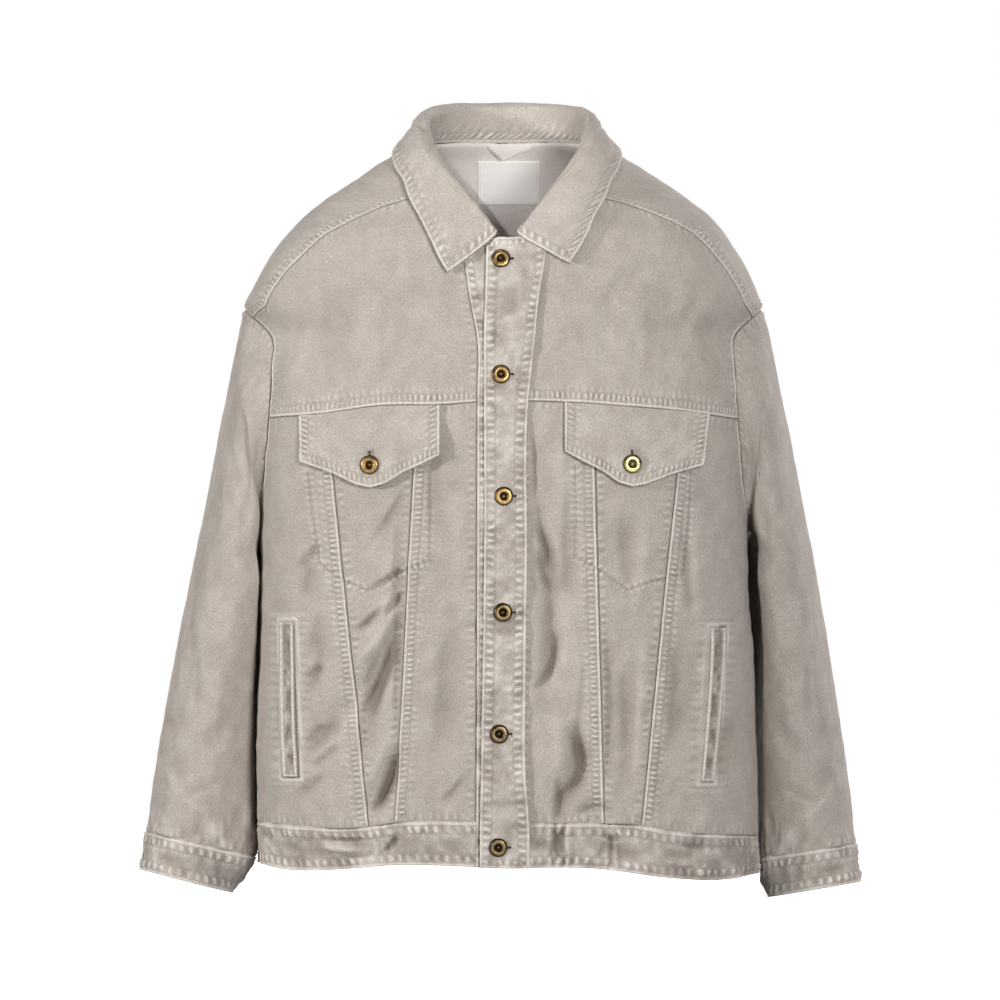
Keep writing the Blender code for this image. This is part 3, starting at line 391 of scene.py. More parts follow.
def level_points(table, start, end, count=33):
    """(angle, z) along a seam across the jacket between two angles."""
    angle = np.linspace(start, end, count)
    x = bare_body(angle, 0 * angle + table[:, 1].mean())[:, 0]
    across_back = np.interp(x, *table[[0, -1]].T)
    if table is HEM:
        across_back = across_back + BACK_HEM_RISE * ease(-np.cos(angle), 0, 0.5)
    return np.stack([angle, np.where(np.cos(angle) > 0, table_z(x, table), across_back)], axis=-1)


def armhole_points(start, end, sign, grow=SEAM_GAP * 1.5, count=25):
    """(angle, z) round the armhole between two turns. Turn is 0 at its top and rises round the front."""
    turn = np.linspace(start, end, count)
    half_height = (ARMHOLE["top_z"] - ARMHOLE["low_z"]) / 2
    z = (ARMHOLE["top_z"] + ARMHOLE["low_z"]) / 2 + (half_height + grow) * np.cos(turn)
    reach = np.where(np.sin(turn) > 0, ARMHOLE["front"], ARMHOLE["back"]) + grow
    lean = (ARMHOLE["low_y"] - ARMHOLE["top_y"]) * (1 - np.cos(turn)) / 2
    squared = np.sin(turn) * (1 + 0.16 * np.cos(turn) ** 2)
    return np.stack([angle_at_y(ARMHOLE["top_y"] + lean - reach * squared, z, sign), z], axis=-1)


def turn_at(z):
    """Turn round the front of the armhole where it is at height z."""
    half_height = (ARMHOLE["top_z"] - ARMHOLE["low_z"]) / 2 + SEAM_GAP * 1.5
    return math.acos((z - (ARMHOLE["top_z"] + ARMHOLE["low_z"]) / 2) / half_height)


def placket_x(table, column, z):
    """x of a placket's edge at height z."""
    rising = table[::-1]
    return smooth(z, rising[:, 0], rising[:, column])


def princess_points(side, seam, count=13):
    """(angle, z) of a seam down the front, from the waist up to the chest seam."""
    top_x, low_x = PRINCESS[side, seam]
    top_z, low_z = table_z(top_x, CHEST), table_z(low_x, WAIST)
    share = np.linspace(0, 1, count)
    return front_points(low_x + (top_x - low_x) * share, low_z + (top_z - low_z) * share)


def front_edge_points(side, low_z, top_z, count=17):
    """(angle, z) up a front's edge under the placket."""
    z = np.linspace(low_z, top_z, count)
    x = LEFT_FRONT_X + 0 * z if side == "left" else placket_x(UNDER_PLACKET, 2, z) - SEAM_GAP
    return front_points(x, z)


def neck_points(start_x, sign, count=13):
    """(angle, z) of the front's neck seam, from the placket to the shoulder seam."""
    x = np.linspace(start_x, NECK[-1][0], count)
    return front_points(NECK_X + sign * x, table_z(x, NECK))


def shoulder_points(sign, count=21):
    """(angle, z) of the seam between the yoke and the front, from the neck to the armhole."""
    half, middle, z = at_share(SHOULDER, np.linspace(0, 1, count))
    last = armhole_points(YOKE_FRONT_TURN, YOKE_FRONT_TURN, sign, count=1)
    return np.concatenate([front_points(middle + sign * half, z), last])


def neck_round_points(sign, count=21):
    """(angle, z) of the neck from the shoulder seam to the centre back."""
    z, angle = NECK_SIDE.T
    first = front_points(NECK_X + sign * NECK[-1][0], NECK[-1][1])
    at = np.linspace(math.degrees(abs(first[0])), 180, count)
    return np.stack([np.radians(at), smooth(at, angle, z)], axis=-1) * np.array([sign, 1])


def side_seam_points(sign, low_z, count=13):
    z = np.linspace(low_z, ARMHOLE["low_z"] - SEAM_GAP * 1.5, count)
    return np.stack([angle_at_y(SIDE_SEAM_Y + 0 * z, z, sign), z], axis=-1)


def round_the_back(points):
    """The same points with their angles from 0 to 360 degrees."""
    return np.stack([points[:, 0] % (2 * math.pi), points[:, 1]], axis=-1)


# ------------------------------------------------------------------ patches between seams
def length_of(points):
    return np.linalg.norm(np.diff(bare_body(points[:, 0], points[:, 1]), axis=0), axis=1).sum()


def along(*parts):
    """A function of 0 to 1 along lines of points, each given with its share of that range."""
    shares = [share for share, _ in parts]
    ends = np.concatenate([[0], np.cumsum(shares)])
    steps, places = [], []
    for start, share, (_, points) in zip(ends, shares, parts):
        gaps = np.linalg.norm(np.diff(bare_body(points[:, 0], points[:, 1]), axis=0), axis=1) + 1e-9
        steps.append(start + share * np.concatenate([[0], np.cumsum(gaps)]) / gaps.sum())
        places.append(points)
    steps = np.concatenate(steps)
    angle, z = np.concatenate(places).T
    return lambda t: np.stack([np.interp(t, steps, angle), np.interp(t, steps, z)], axis=-1)


def patch(*edges, gap=SEAM_GAP / 2):
    """(angle, z) at shares across and up inside a low, top, start and end edge, a gap in from each.

    An edge is a line of points or a function from along().
    """
    low, top, start, end = (edge if callable(edge) else along((1, edge)) for edge in edges)
    dense = np.linspace(0, 1, 60)
    inset_u = gap / min(length_of(low(dense)), length_of(top(dense)))
    inset_v = gap / min(length_of(start(dense)), length_of(end(dense)))
    low_start, low_end, top_start, top_end = low(0.0), low(1.0), top(0.0), top(1.0)

    def place(across, up):
        u = inset_u + (1 - 2 * inset_u) * across
        v = inset_v + (1 - 2 * inset_v) * up
        a, b = u[..., None], v[..., None]
        low_corners = (1 - a) * low_start + a * low_end
        top_corners = (1 - a) * top_start + a * top_end
        between = (1 - b) * (low(u) - low_corners) + b * (top(u) - top_corners)
        return between + (1 - a) * start(v) + a * end(v)

    return place


def on_body(place, lift=None):
    """A surface for sheet_wall() from a patch. The lift is a function of the shares across and up."""

    def surface(across, up, out):
        where = place(across, up)
        return body(where[..., 0], where[..., 1], out + (lift(across, up) if lift else 0))

    return surface


def thickened(middle):
    """A surface for sheet_wall() from a function that gives points at shares across and up."""

    def surface(across, up, out):
        return middle(across, up) + normal_of(middle, across, up) * np.expand_dims(out, -1)

    return surface


# ------------------------------------------------------------------ the panels
def front_yoke(side, sign):
    edge_x = LEFT_FRONT_X if side == "left" else placket_x(UNDER_PLACKET, 2, -0.070) - SEAM_GAP
    neck = neck_points(abs(edge_x - NECK_X), sign)
    chest_x = LEFT_FRONT_X if side == "left" else placket_x(UNDER_PLACKET, 2, -0.2268) - SEAM_GAP
    start = front_edge_points(side, table_z(chest_x, CHEST), neck[0, 1])
    turn = turn_at(table_z(sign * 0.21, CHEST))
    armhole = armhole_points(turn, YOKE_FRONT_TURN, sign)
    low = level_points(CHEST, start[0, 0], armhole[0, 0])
    low[-1] = armhole[0]
    top = along((1 / 3, neck), (2 / 3, shoulder_points(sign)))
    return patch(low, top, start, armhole)


def front_panel(side, start, end):
    low = level_points(WAIST, start[0, 0], end[0, 0])
    top = level_points(CHEST, start[-1, 0], end[-1, 0])
    low[0], low[-1], top[0], top[-1] = start[0], end[0], start[-1], end[-1]
    return patch(low, top, start, end)


def front_side(side, sign):
    start = princess_points(side, "outer")
    seam = side_seam_points(sign, table_z(sign * 0.23, WAIST))
    turn = turn_at(table_z(sign * 0.21, CHEST))
    armhole = armhole_points(math.pi, turn, sign)
    armhole[0] = seam[-1]
    low = level_points(WAIST, start[0, 0], seam[0, 0])
    top = level_points(CHEST, start[-1, 0], armhole[-1, 0])
    low[0], low[-1], top[0], top[-1] = start[0], seam[0], start[-1], armhole[-1]
    return patch(low, top, start, along((0.66, seam), (0.34, armhole)))


def back_yoke_height(angle):
    """z of the seam under the back yoke: level in the middle and a little higher at the armholes."""
    return BACK_YOKE_Z + BACK_YOKE_RISE * ease(np.abs(angle % (2 * math.pi) - math.pi), 0, math.radians(75))


def back_side(sign):
    seam = side_seam_points(sign, table_z(sign * 0.23, WAIST))
    armhole = armhole_points(-math.pi, YOKE_BACK_TURN, sign)
    armhole[0] = seam[-1]
    low = level_points(WAIST, seam[0, 0], sign * math.radians(BACK_SEAM_ANGLE["low"]))
    top_angle = np.linspace(armhole[-1, 0], sign * math.radians(BACK_SEAM_ANGLE["top"]), 13)
    top = np.stack([top_angle, back_yoke_height(top_angle)], axis=-1)
    low[0], top[0] = seam[0], armhole[-1]
    end = np.linspace(low[-1], top[-1], 13)
    return patch(low, top, along((0.62, seam), (0.38, armhole)), end)


def back_centre():
    low_angle, top_angle = math.radians(BACK_SEAM_ANGLE["low"]), math.radians(BACK_SEAM_ANGLE["top"])
    low = level_points(WAIST, low_angle, 2 * math.pi - low_angle)
    across = np.linspace(top_angle, 2 * math.pi - top_angle, 13)
    top = np.stack([across, back_yoke_height(across)], axis=-1)
    return patch(low, top, np.linspace(low[0], top[0], 13), np.linspace(low[-1], top[-1], 13))


def yoke():
    """The yoke runs from one shoulder seam over the shoulders and round the back to the other."""
    left, right = shoulder_points(1), round_the_back(shoulder_points(-1))
    arm_left = armhole_points(YOKE_FRONT_TURN, YOKE_BACK_TURN, 1)
    arm_right = round_the_back(armhole_points(YOKE_BACK_TURN, YOKE_FRONT_TURN, -1))
    angle = np.linspace(arm_left[-1, 0], arm_right[0, 0], 41)
    low = np.stack([angle, back_yoke_height(angle)], axis=-1)
    low[0], low[-1] = arm_left[-1], arm_right[0]
    top = np.concatenate([neck_round_points(1), round_the_back(neck_round_points(-1))[-2::-1]])
    round_low = along((0.2, arm_left), (0.6, low), (0.2, arm_right))
    return patch(round_low, top, left[::-1], right[::-1], gap=SEAM_GAP)


def waistband():
    """The band's ends stand beside the plackets, and it goes round the back."""
    z = np.linspace(-0.6460, -0.6050, 9)
    start = front_points(LEFT_FRONT_X, z)
    end = front_points(placket_x(UNDER_PLACKET, 2, z) - SEAM_GAP, z) + np.array([2 * math.pi, 0])
    low = level_points(HEM, start[0, 0], end[0, 0], 121)
    top = level_points(WAIST, start[-1, 0], end[-1, 0], 121)
    for edge, k in ((start, 0), (end, -1)):
        edge[:, 1] += np.linspace(low[k, 1] - edge[0, 1], top[k, 1] - edge[-1, 1], 9)
        low[k], top[k] = edge[0], edge[-1]
    return patch(low, top, start, end, gap=SEAM_GAP * 2)


def placket(table):
    """A strip up the front, between the x of two columns of its table."""

    def place(across, up):
        first, last = placket_x(table, 1, -0.4), placket_x(table, 2, -0.4)
        x = first + (last - first) * across
        for _ in range(3):
            low_z, top_z = table_z(x, HEM), table_z(np.abs(x - NECK_X), NECK)
            z = low_z + 0.0003 + (top_z - low_z - 0.0008) * up
            x = placket_x(table, 1, z) * (1 - across) + placket_x(table, 2, z) * across
        if table is OVER_PLACKET:
            z = z - PLACKET_CORNER * (1 - ease(across, 0, 0.28)) ** 2 * ease(up, 0.9, 1)
        return np.stack([angle_at_x(x, z), z], axis=-1)

    return place


# ------------------------------------------------------------------ sleeves, collar and small pieces
def sleeve_ring(ring, turn, sign):
    """Points round one ring of a sleeve, given as its row of SLEEVE."""
    outer_x, outer_z, inner_x, inner_z, middle_y, half_depth, sway = ring
    inward = (1 - np.cos(turn)) / 2
    x = sign * (outer_x + (inner_x - outer_x) * inward) + sway
    z = outer_z + (inner_z - outer_z) * inward
    return np.stack([x, middle_y - half_depth * np.sin(turn), z], axis=-1)


def sleeve_middle(sign):
    """Points of a sleeve at shares round it, from its outside to the front, and down it."""
    seam = armhole_points(0, 2 * math.pi, sign, grow=-0.0010, count=361)
    seam = np.unwrap(seam, axis=0)
    at = np.linspace(0, 1, 361)

    def middle(around, down):
        turn = 2 * math.pi * around
        ring = at_share(SLEEVE, down)
        if sign > 0:
            for column, drop in zip((1, 3), LEFT_DROP):
                ring[column] = ring[column] - drop * ease(down, 0.3, 1)
        fixed = bare_body(np.interp(around % 1, at, seam[:, 0]), np.interp(around % 1, at, seam[:, 1]))
        hold = (1 - ease(down, 0.0, 0.22))[..., None]
        point = sleeve_ring(ring, turn, sign) + (fixed - sleeve_ring(SLEEVE[0], turn, sign)) * hold
        return beside_body(point, sign, SLEEVE_CLEAR * ease(down, 0.0, 0.03))

    return middle


def beside_body(point, sign, clear):
    """The point, moved sideways where it would come nearer than that to the body's side."""
    half_width, middle_x, middle_y, front, back, front_power, back_power = section(point[..., 2])
    ahead = point[..., 1] < middle_y
    depth, power = np.where(ahead, front, back), np.where(ahead, front_power, back_power)
    edge = half_width * bow(point[..., 1] - middle_y, depth, power) + clear
    reach = sign * (point[..., 0] - middle_x)
    gap = reach - edge
    soft = np.where(gap < -SOFT_PUSH, 0, (gap + SOFT_PUSH) ** 2 / (4 * SOFT_PUSH))
    pushed = np.where(clear > 0, edge + np.where(gap > SOFT_PUSH, gap, soft), reach)
    reach = reach + (pushed - reach) * ease(clear, 0, SLEEVE_CLEAR)
    return np.stack([middle_x + sign * reach, point[..., 1], point[..., 2]], axis=-1)


def sleeve_folded(sign):
    middle = sleeve_middle(sign)

    def folded(around, down):
        point = middle(around, down)
        total = 0 * (around + down)
        for turn, share, end_turn, end_share, half_width, height in SLEEVE_FOLDS:
            ends = (turn / 360 * SLEEVE_ROUND, share * SLEEVE_LONG,
                    end_turn / 360 * SLEEVE_ROUND, end_share * SLEEVE_LONG)
            for lap in (-1, 0, 1):
                x, z = (around % 1 + lap) * SLEEVE_ROUND, down * SLEEVE_LONG
                total = total + height * near_line(x, z, ends, half_width)
        return point + normal_of(middle, around, np.clip(down, 0.001, 0.999)) * (total * sign)[..., None]

    return folded


def sleeve_surface(sign, first, last):
    """Part of a sleeve between two shares down it, for sheet_wall()."""
    middle = thickened(sleeve_folded(sign))
    return lambda across, up, out: middle(across, first + (last - first) * (1 - up), sign * out)


def collar_middle(across, up):
    """Points of the collar at shares from its right front end to its left, and from neck to edge."""
    side = np.where(across < 0.5, -1, 1)
    share = 1 - np.abs(2 * across - 1)
    fold_z, edge_z, roll, bulge, neck_angle, fold_angle, edge_angle = at_share(COLLAR, share)
    shift = COLLAR_SHIFT * (1 - ease(share, 0, 0.4))
    neck_angle, fold_angle = side * neck_angle + shift, side * fold_angle + shift
    edge_angle = side * edge_angle + COLLAR_TIP[0] * (1 - ease(share, 0, 0.3))
    edge_z = edge_z + side * COLLAR_TIP[1] * (1 - ease(share, 0, 0.2))
    neck_z = neck_height(np.abs(neck_angle)) + NECK_CLEAR
    tight = np.minimum(roll, (fold_z - neck_z) * 0.6)
    steps = (0.0, 0.16, 0.30, 0.40, 0.50, 0.64, 0.82, 1.0)
    turned = edge_angle - fold_angle
    angles = [neck_angle, (neck_angle + fold_angle) / 2, fold_angle, fold_angle, fold_angle,
              fold_angle + turned * 0.22, fold_angle + turned * 0.62, edge_angle]
    heights = [neck_z, (neck_z + fold_z - tight) / 2, fold_z - tight, fold_z, fold_z - roll,
               fold_z + (edge_z - fold_z) * 0.30, fold_z + (edge_z - fold_z) * 0.66, edge_z]
    outs = [-0.0008, -0.0008, -0.0004, roll, 2 * roll, 2 * roll + bulge * 0.6,
            roll + COLLAR_CLEAR / 2 + bulge, COLLAR_CLEAR]
    angle = np.radians(piece_through(up, steps, angles))
    z = piece_through(up, steps, heights)
    return bare_body(angle, z) + normal_of(bare_body, angle, z) * piece_through(up, steps, outs)[..., None]


def neck_height(degrees):
    """z of the neck seam at an angle from the front."""
    line = np.concatenate([neck_points(0.0, 1), neck_round_points(1)[1:]])
    return np.interp(np.radians(degrees), line[:, 0], line[:, 1])


def piece_through(t, steps, values):
    """A value at t through one value at each step, where each value may be an array like t."""
    out = values[0] + 0 * t
    for k in range(len(steps) - 1):
        straight = np.clip((t - steps[k]) / (steps[k + 1] - steps[k]), 0, 1)
        local = ease(t, steps[k], steps[k + 1]) * 0.35 + straight * 0.65
        out = out + (values[k + 1] - values[k]) * local
    return out


def flap_patch(side, sign):
    inner_x, inner_z, tip_x, tip_z, outer_x, outer_z, outer_top_x = FLAPS[side]
    x = np.array([inner_x, inner_x * 0.45 + tip_x * 0.55, tip_x * 0.8 + inner_x * 0.2, tip_x,
                  tip_x * 0.8 + outer_x * 0.2, outer_x * 0.55 + tip_x * 0.45, outer_x])
    z = np.array([inner_z, inner_z * 0.45 + tip_z * 0.55, tip_z + 0.0035, tip_z,
                  tip_z + 0.0025, outer_z * 0.55 + tip_z * 0.45, outer_z])
    top_x = np.linspace(inner_x, outer_top_x, 21)
    low, top = front_points(x, z), front_points(top_x, table_z(top_x, CHEST) - 0.0004)
    return patch(low, top, np.linspace(low[0], top[0], 5), np.linspace(low[-1], top[-1], 5))


def flap_lift(across, up):
    return LIFT + (FLAP_LOW_LIFT - LIFT) * ease(1 - up, 0, 1)


def welt_patch(side):
    inner_top, outer_top, top_z, inner_low, outer_low, low_z = WELTS[side]
    low = front_points(np.array([inner_low, outer_low]), low_z)
    top = front_points(np.array([inner_top, outer_top]), top_z)
    return patch(low, top, np.stack([low[0], top[0]]), np.stack([low[1], top[1]]))


def label_surface(across, up, out):
    x = LABEL["left_x"] + (LABEL["right_x"] - LABEL["left_x"]) * across
    z = LABEL["low_z"] + (LABEL["top_z"] - LABEL["low_z"]) * up
    far, middle_x, _ = behind(x, z)
    return body(math.pi - np.arctan2(x - middle_x, far), z, out - CLOTH - LIFT)


def loop_surface(across, up, out):
    """The hanger loop: a strip on edge that hangs from the back neck seam in a V with a rounded point."""
    x = LOOP["left_x"] + (LOOP["right_x"] - LOOP["left_x"]) * across
    low_at = (LOOP["low_x"] - LOOP["left_x"]) / (LOOP["right_x"] - LOOP["left_x"])
    to_low = np.where(across < low_at, across / low_at, (1 - across) / (1 - low_at))
    dip = 1 + LOOP["rounding"] - np.sqrt((1.0 - to_low) ** 2 + LOOP["rounding"] ** 2)
    z = LOOP["top_z"] - LOOP["sag"] * dip - LOOP["width"] * (1 - up)
    far, _, middle_y = behind(x, z)
    y = middle_y + far - CLOTH - LOOP["wall"] / 2 - SEAM_GAP - LOOP["stand"] * dip
    return np.stack([x, y - out, z], axis=-1)


# ------------------------------------------------------------------ relief of the cloth
# Seams: how far the edge stands up, where its rows of stitches are, and the puckers between them.
SEAMS = {
    # name: ridge height, rows of stitches from the edge, pucker height, pitch, spill beyond the last row
    "over": (0.00105, (0.0028, 0.0094), 0.00120, 0.0049, 0.65),
    "strap": (0.00065, (0.0026, 0.0105), 0.00100, 0.0070, 0.50),
    "leaf": (0.00090, (0.0026, 0.0092), 0.00110, 0.0074, 0.55),
    "band": (0.00080, (0.0026, 0.0100), 0.00120, 0.0086, 0.60),
    "narrow": (0.00050, (0.0022, 0.0078), 0.00075, 0.0062, 0.40),
    "under": (-0.00045, (), 0.00085, 0.0064, 1.00),
    "clean": (0.00085, (0.0034,), 0.00030, 0.0064, 0.50),
    "turned": (0.00035, (0.0024,), 0.00050, 0.0070, 0.60),
}

# Soft creases: a line bent through a middle point, seen from the front or the back.
CREASES = {
    # x, z, middle_x, middle_z, end_x, end_z, half_width, height
    "front": in_metres((
        (27, -243, 28.5, -285, 30, -330, 2.2, -1.4),
        (29, -330, 39, -360, 50, -392, 4.2, -1.8),
        (35, -325, 46, -352, 60, -372, 6, 1.2),
        (40, -385, 43, -430, 36, -470, 6, -1.4),
        (52, -390, 55, -435, 44, -500, 7, 1.8),
        (54.9, -515, 69, -558, 38.7, -592, 6.2, -3.6),
        (66, -430, 72, -500, 76, -560, 10, 1.2),
        (52, -250, 52, -300, 56, -360, 6, 1),
        (-87, -405, -102, -440, -129, -495, 6, -2.2),
        (-92, -390, -113, -425, -133, -465, 7, 1.6),
        (-92, -548, -103, -573, -118, -600, 5, -1.8),
        (-98, -325, -104, -345, -106, -362, 5, -1.2),
        (-110, -330, -118, -360, -124, -385, 7, 1),
        (-173, -370, -178, -390, -182, -408, 5, -1.4),
        (-164, -412, -170, -435, -175, -462, 5, -1.4),
        (-145, -508, -160, -525, -178, -547, 5, -1.8),
        (-142, -524, -160, -540, -178, -556, 5, 1.3),
        (-150, -340, -160, -400, -164, -440, 8, 1.2),
        (-56, -250, -64, -300, -60, -360, 8, -1.2),
        (-45, -420, -52, -480, -60, -560, 9, -1.2),
        (-40, -300, -36, -380, -38, -440, 10, 1),
        (113, -320, 110, -360, 118, -400, 8, -1.2),
        (130, -330, 126, -380, 120, -430, 8, 1.2),
        (108, -450, 112, -520, 107, -590, 8, -1.2),
        (150, -420, 156, -480, 148, -560, 10, -1.4),
        (170, -300, 176, -360, 172, -420, 10, 1.2),
        (205, -500, 198, -540, 185, -580, 8, -1.4),
        (-143, -100, -146, -150, -140, -215, 9, -1.1),
        (-119, -90, -120, -150, -115, -215, 8, 1),
        (-95, -110, -93, -160, -96, -215, 8, -1),
        (80, -120, 83, -170, 80, -215, 9, 0.9),
        (130, -100, 136, -160, 130, -220, 10, -1),
        (180, -140, 186, -190, 190, -225, 9, -1.2),
        (-190, -150, -188, -200, -194, -235, 8, 1),
        (-93, -300, -95, -420, -93, -560, 4.2, -1.6),
        (-101, -330, -106, -440, -102, -560, 8, 1.2),
        (-114, -455, -122, -500, -130, -560, 6, -1.4),
        (-90, -445, -108, -480, -122, -530, 4, -1.4),
        (-163, -430, -169, -470, -183, -500, 4.5, -1.4),
        (-156, -560, -172, -570, -190, -585, 4.5, -1.3),
        (-33, -560, -42, -575, -58, -590, 4.2, -1.4),
        (32, -300, 37, -350, 48, -400, 4.5, -1.5),
        (62, -300, 58, -360, 64, -420, 6, -1.2),
        (76, -440, 70, -510, 56, -580, 5.5, -1.4),
        (93, -420, 96, -500, 93, -590, 5, -1.3),
        (128, -430, 124, -510, 118, -590, 5.5, 1.2),
        (162, -330, 166, -380, 172, -430, 5, -1.2),
        (16, -110, 30, -150, 33, -200, 5, -1.1),
        (-157, -120, -159, -170, -156, -222, 6, -1.2),
        (-106, -130, -108, -180, -105, -222, 5, -1.2),
        (-94, -432, -108, -472, -126, -512, 5.4, -4.2),
        (-101, -424, -119, -450, -133, -462, 5, 1.8),
        (-90.5, -530, -106, -574, -119, -604, 4.2, -3.4),
        (-101, -520, -113, -556, -124, -580, 5.2, 1.6),
        (-101, -408, -116, -420, -134, -436, 3.6, -2.6),
        (-88, -372, -102, -385, -120, -394, 3, -2.4),
        (-87, -395, -98, -408, -106, -426, 3.4, -2.6),
        (-83, -300, -108, -340, -131, -374, 4.6, -1.8),
        (-90, -322, -106, -344, -118, -366, 6, 1.2),
        (-164, -352, -174, -364, -186, -380, 3.8, -1.8),
        (-156, -516, -169, -524, -179, -538, 3.6, -2),
        (-144, -532, -161, -546, -178, -560, 3.6, -2),
        (-160, -462, -169, -468, -179, -477, 3.4, -1.8),
        (44, -430, 45, -458, 27, -490, 4.4, -3.2),
        (40, -505, 50, -538, 42, -570, 7.5, 1.6),
        (51, -560, 50, -590, 49, -612, 4, -2.6),
        (33, -356, 40, -390, 52, -400, 4.6, -2.6),
        (-21.5, -418, -22.5, -430, -21.5, -446, 1.6, -2.6),
        (-21.8, -560, -21.2, -580, -22.2, -602, 1.6, -2.6),
        (64, -600, 90, -592, 100, -606, 4, -1.6),
    )),
    "back": in_metres((
        (-40, -250, -48, -320, -42, -400, 6, -2.2),
        (45, -300, 30, -380, 42, -460, 6, -2.2),
        (-20, -420, -35, -480, -60, -530, 5, -2.6),
        (20, -500, 42, -540, 62, -590, 5, -2.6),
        (-90, -440, -110, -490, -135, -530, 5, -3),
        (-95, -400, -115, -440, -138, -470, 5.5, 1.8),
        (98, -470, 115, -520, 140, -560, 5, -3),
        (102, -400, 128, -440, 150, -470, 4.5, -2.4),
        (100, -560, 120, -585, 145, -602, 4.5, -2.6),
        (-100, -550, -118, -580, -140, -604, 4.5, -2.6),
        (-160, -250, -150, -300, -130, -350, 6, -2.4),
        (160, -260, 145, -310, 125, -350, 6, -2.4),
        (0, -210, 8, -280, 0, -340, 7, -1.8),
        (-175, -480, -162, -520, -165, -580, 5.5, -2.2),
        (180, -480, 170, -530, 175, -585, 5.5, -2.2),
        (-90, -200, -110, -300, -80, -420, 8, -1.8),
        (95, -210, 120, -300, 90, -440, 8, -1.8),
        (0, -260, 20, -400, 5, -560, 9, -1.4),
        (-150, -340, -130, -460, -150, -590, 9, -1.8),
        (165, -330, 145, -450, 160, -585, 9, 1.6),
        (50, -480, 40, -540, 60, -600, 6, -1.4),
        (-30, -470, -45, -540, -30, -600, 6, 1.2),
        (-130, -60, -110, -110, -130, -165, 10, -1.2),
        (120, -60, 135, -110, 115, -165, 10, -1.2),
    )),
}
CREASE_DEPTH, BAND_CREASE_DEPTH, SLEEVE_CREASE_DEPTH = 1.85, 1.5, 1.25  # times the heights in the tables
BAND_CREASES = in_metres((
    # along the waistband: x, z, middle, end, half_width, height
    (-166, -618, -140, -621, -116, -619, 1.6, -1.8),
    (-168, -626, -140, -630, -118, -627, 3, 1.4),
    (-150, -633, -130, -636, -108, -630, 2.2, -1.4),
    (-94, -612, -98, -622, -110, -634, 3, -2.2),
    (51, -606, 49, -624, 52, -646, 3, -2.8),
    (61, -608, 58, -622, 61, -640, 3.5, 1.4),
    (88, -612, 98, -620, 110, -618, 2.8, -2),
    (150, -622, 180, -628, 205, -626, 4, -1),
))
TROUGH_SHADE, RIDGE_WEAR = 1.25, 0.35  # how much more a trough darkens, as painted shade, than a ridge lightens, as rubbed wear
RECESS = {"turn": 0.395, "width": 0.105, "depth": 0.0120}  # where the left sleeve sinks beside the body
SLEEVE_INNER, SLEEVE_BULGE = 195, 0.0068  # degrees round the sleeve, and the most that it gains there
FLAP_STAND = 0.0044  # the most that a flap's edge stands further off
FLAP_BUTTON_RISE = 0.0013  # how far a standing flap lifts its button
LIP = 0.0030  # how far a band's inner layer laps the panels above it
NECK_LAP = 0.0020  # how far the collar's facing and the yoke's inner layer lap the neck seam
CREASE_SHADE_AND_WEAR = 0.0045  # a crease this high is as light as a rubbed seam on a ridge, and as dark with painted shade in a trough
SLEEVE_CREASES = (
    # turn in degrees, share down, middle turn, middle share, end turn, end share, half width, height
    (60, 0.16, 75, 0.24, 80, 0.36, 0.0090, -0.0006),
    (110, 0.10, 100, 0.20, 105, 0.30, 0.0080, 0.0006),
    (30, 0.30, 60, 0.36, 100, 0.40, 0.0070, -0.0005),
    (120, 0.44, 90, 0.50, 50, 0.54, 0.0070, -0.0006),
    (130, 0.50, 100, 0.56, 70, 0.58, 0.0070, 0.0005),
    (40, 0.62, 70, 0.66, 110, 0.70, 0.0070, -0.0005),
    (120, 0.74, 80, 0.78, 40, 0.80, 0.0060, -0.0007),
    (130, 0.80, 100, 0.83, 60, 0.86, 0.0060, 0.0007),
    (120, 0.86, 90, 0.89, 55, 0.91, 0.0040, -0.0016),
    (30, 0.84, 50, 0.88, 90, 0.93, 0.0040, 0.0012),
    (250, 0.36, 280, 0.44, 310, 0.50, 0.0080, -0.0024),
    (240, 0.46, 270, 0.52, 300, 0.54, 0.0070, 0.0020),
    (235, 0.56, 270, 0.62, 310, 0.64, 0.0070, -0.0022),
    (250, 0.72, 280, 0.78, 300, 0.86, 0.0060, -0.0018),
    (200, 0.20, 220, 0.30, 225, 0.42, 0.0080, -0.0018),
    (330, 0.20, 320, 0.40, 335, 0.60, 0.0100, 0.0014),
)


# Uneven cloth
WAVES = {
    # how wide and high a wave is, the most that it adds; its seed
    "cuff": in_metres(((16, 14, 1.5, 81), (8, 7, 0.9, 82)), 3),
    "collar": in_metres(((45, 30, 0.8, 71), (16, 12, 0.6, 72)), 3),
    "sleeve": in_metres(((5.5, 8, 0.22, 65), (11, 15, 0.3, 66)), 3),
}


def noise(a, b, seed):
    """Smooth noise from -1 to 1 over a plane, with a new value at each unit."""
    values = np.random.default_rng(seed).uniform(-1, 1, (64, 64))
    i, j = np.floor(a).astype(int), np.floor(b).astype(int)
    s, t = ease(a - i, 0, 1), ease(b - j, 0, 1)
    low = values[i % 64, j % 64] * (1 - s) + values[(i + 1) % 64, j % 64] * s
    high = values[i % 64, (j + 1) % 64] * (1 - s) + values[(i + 1) % 64, (j + 1) % 64] * s
    return low * (1 - t) + high * t


def waves(u, v, kind):
    """Layers of noise over a plane in metres."""
    return sum(noise(u / wide, v / high, int(seed)) * most for wide, high, most, seed in WAVES[kind])


def hump(x, width):
    return np.exp(-((x / width) ** 2))


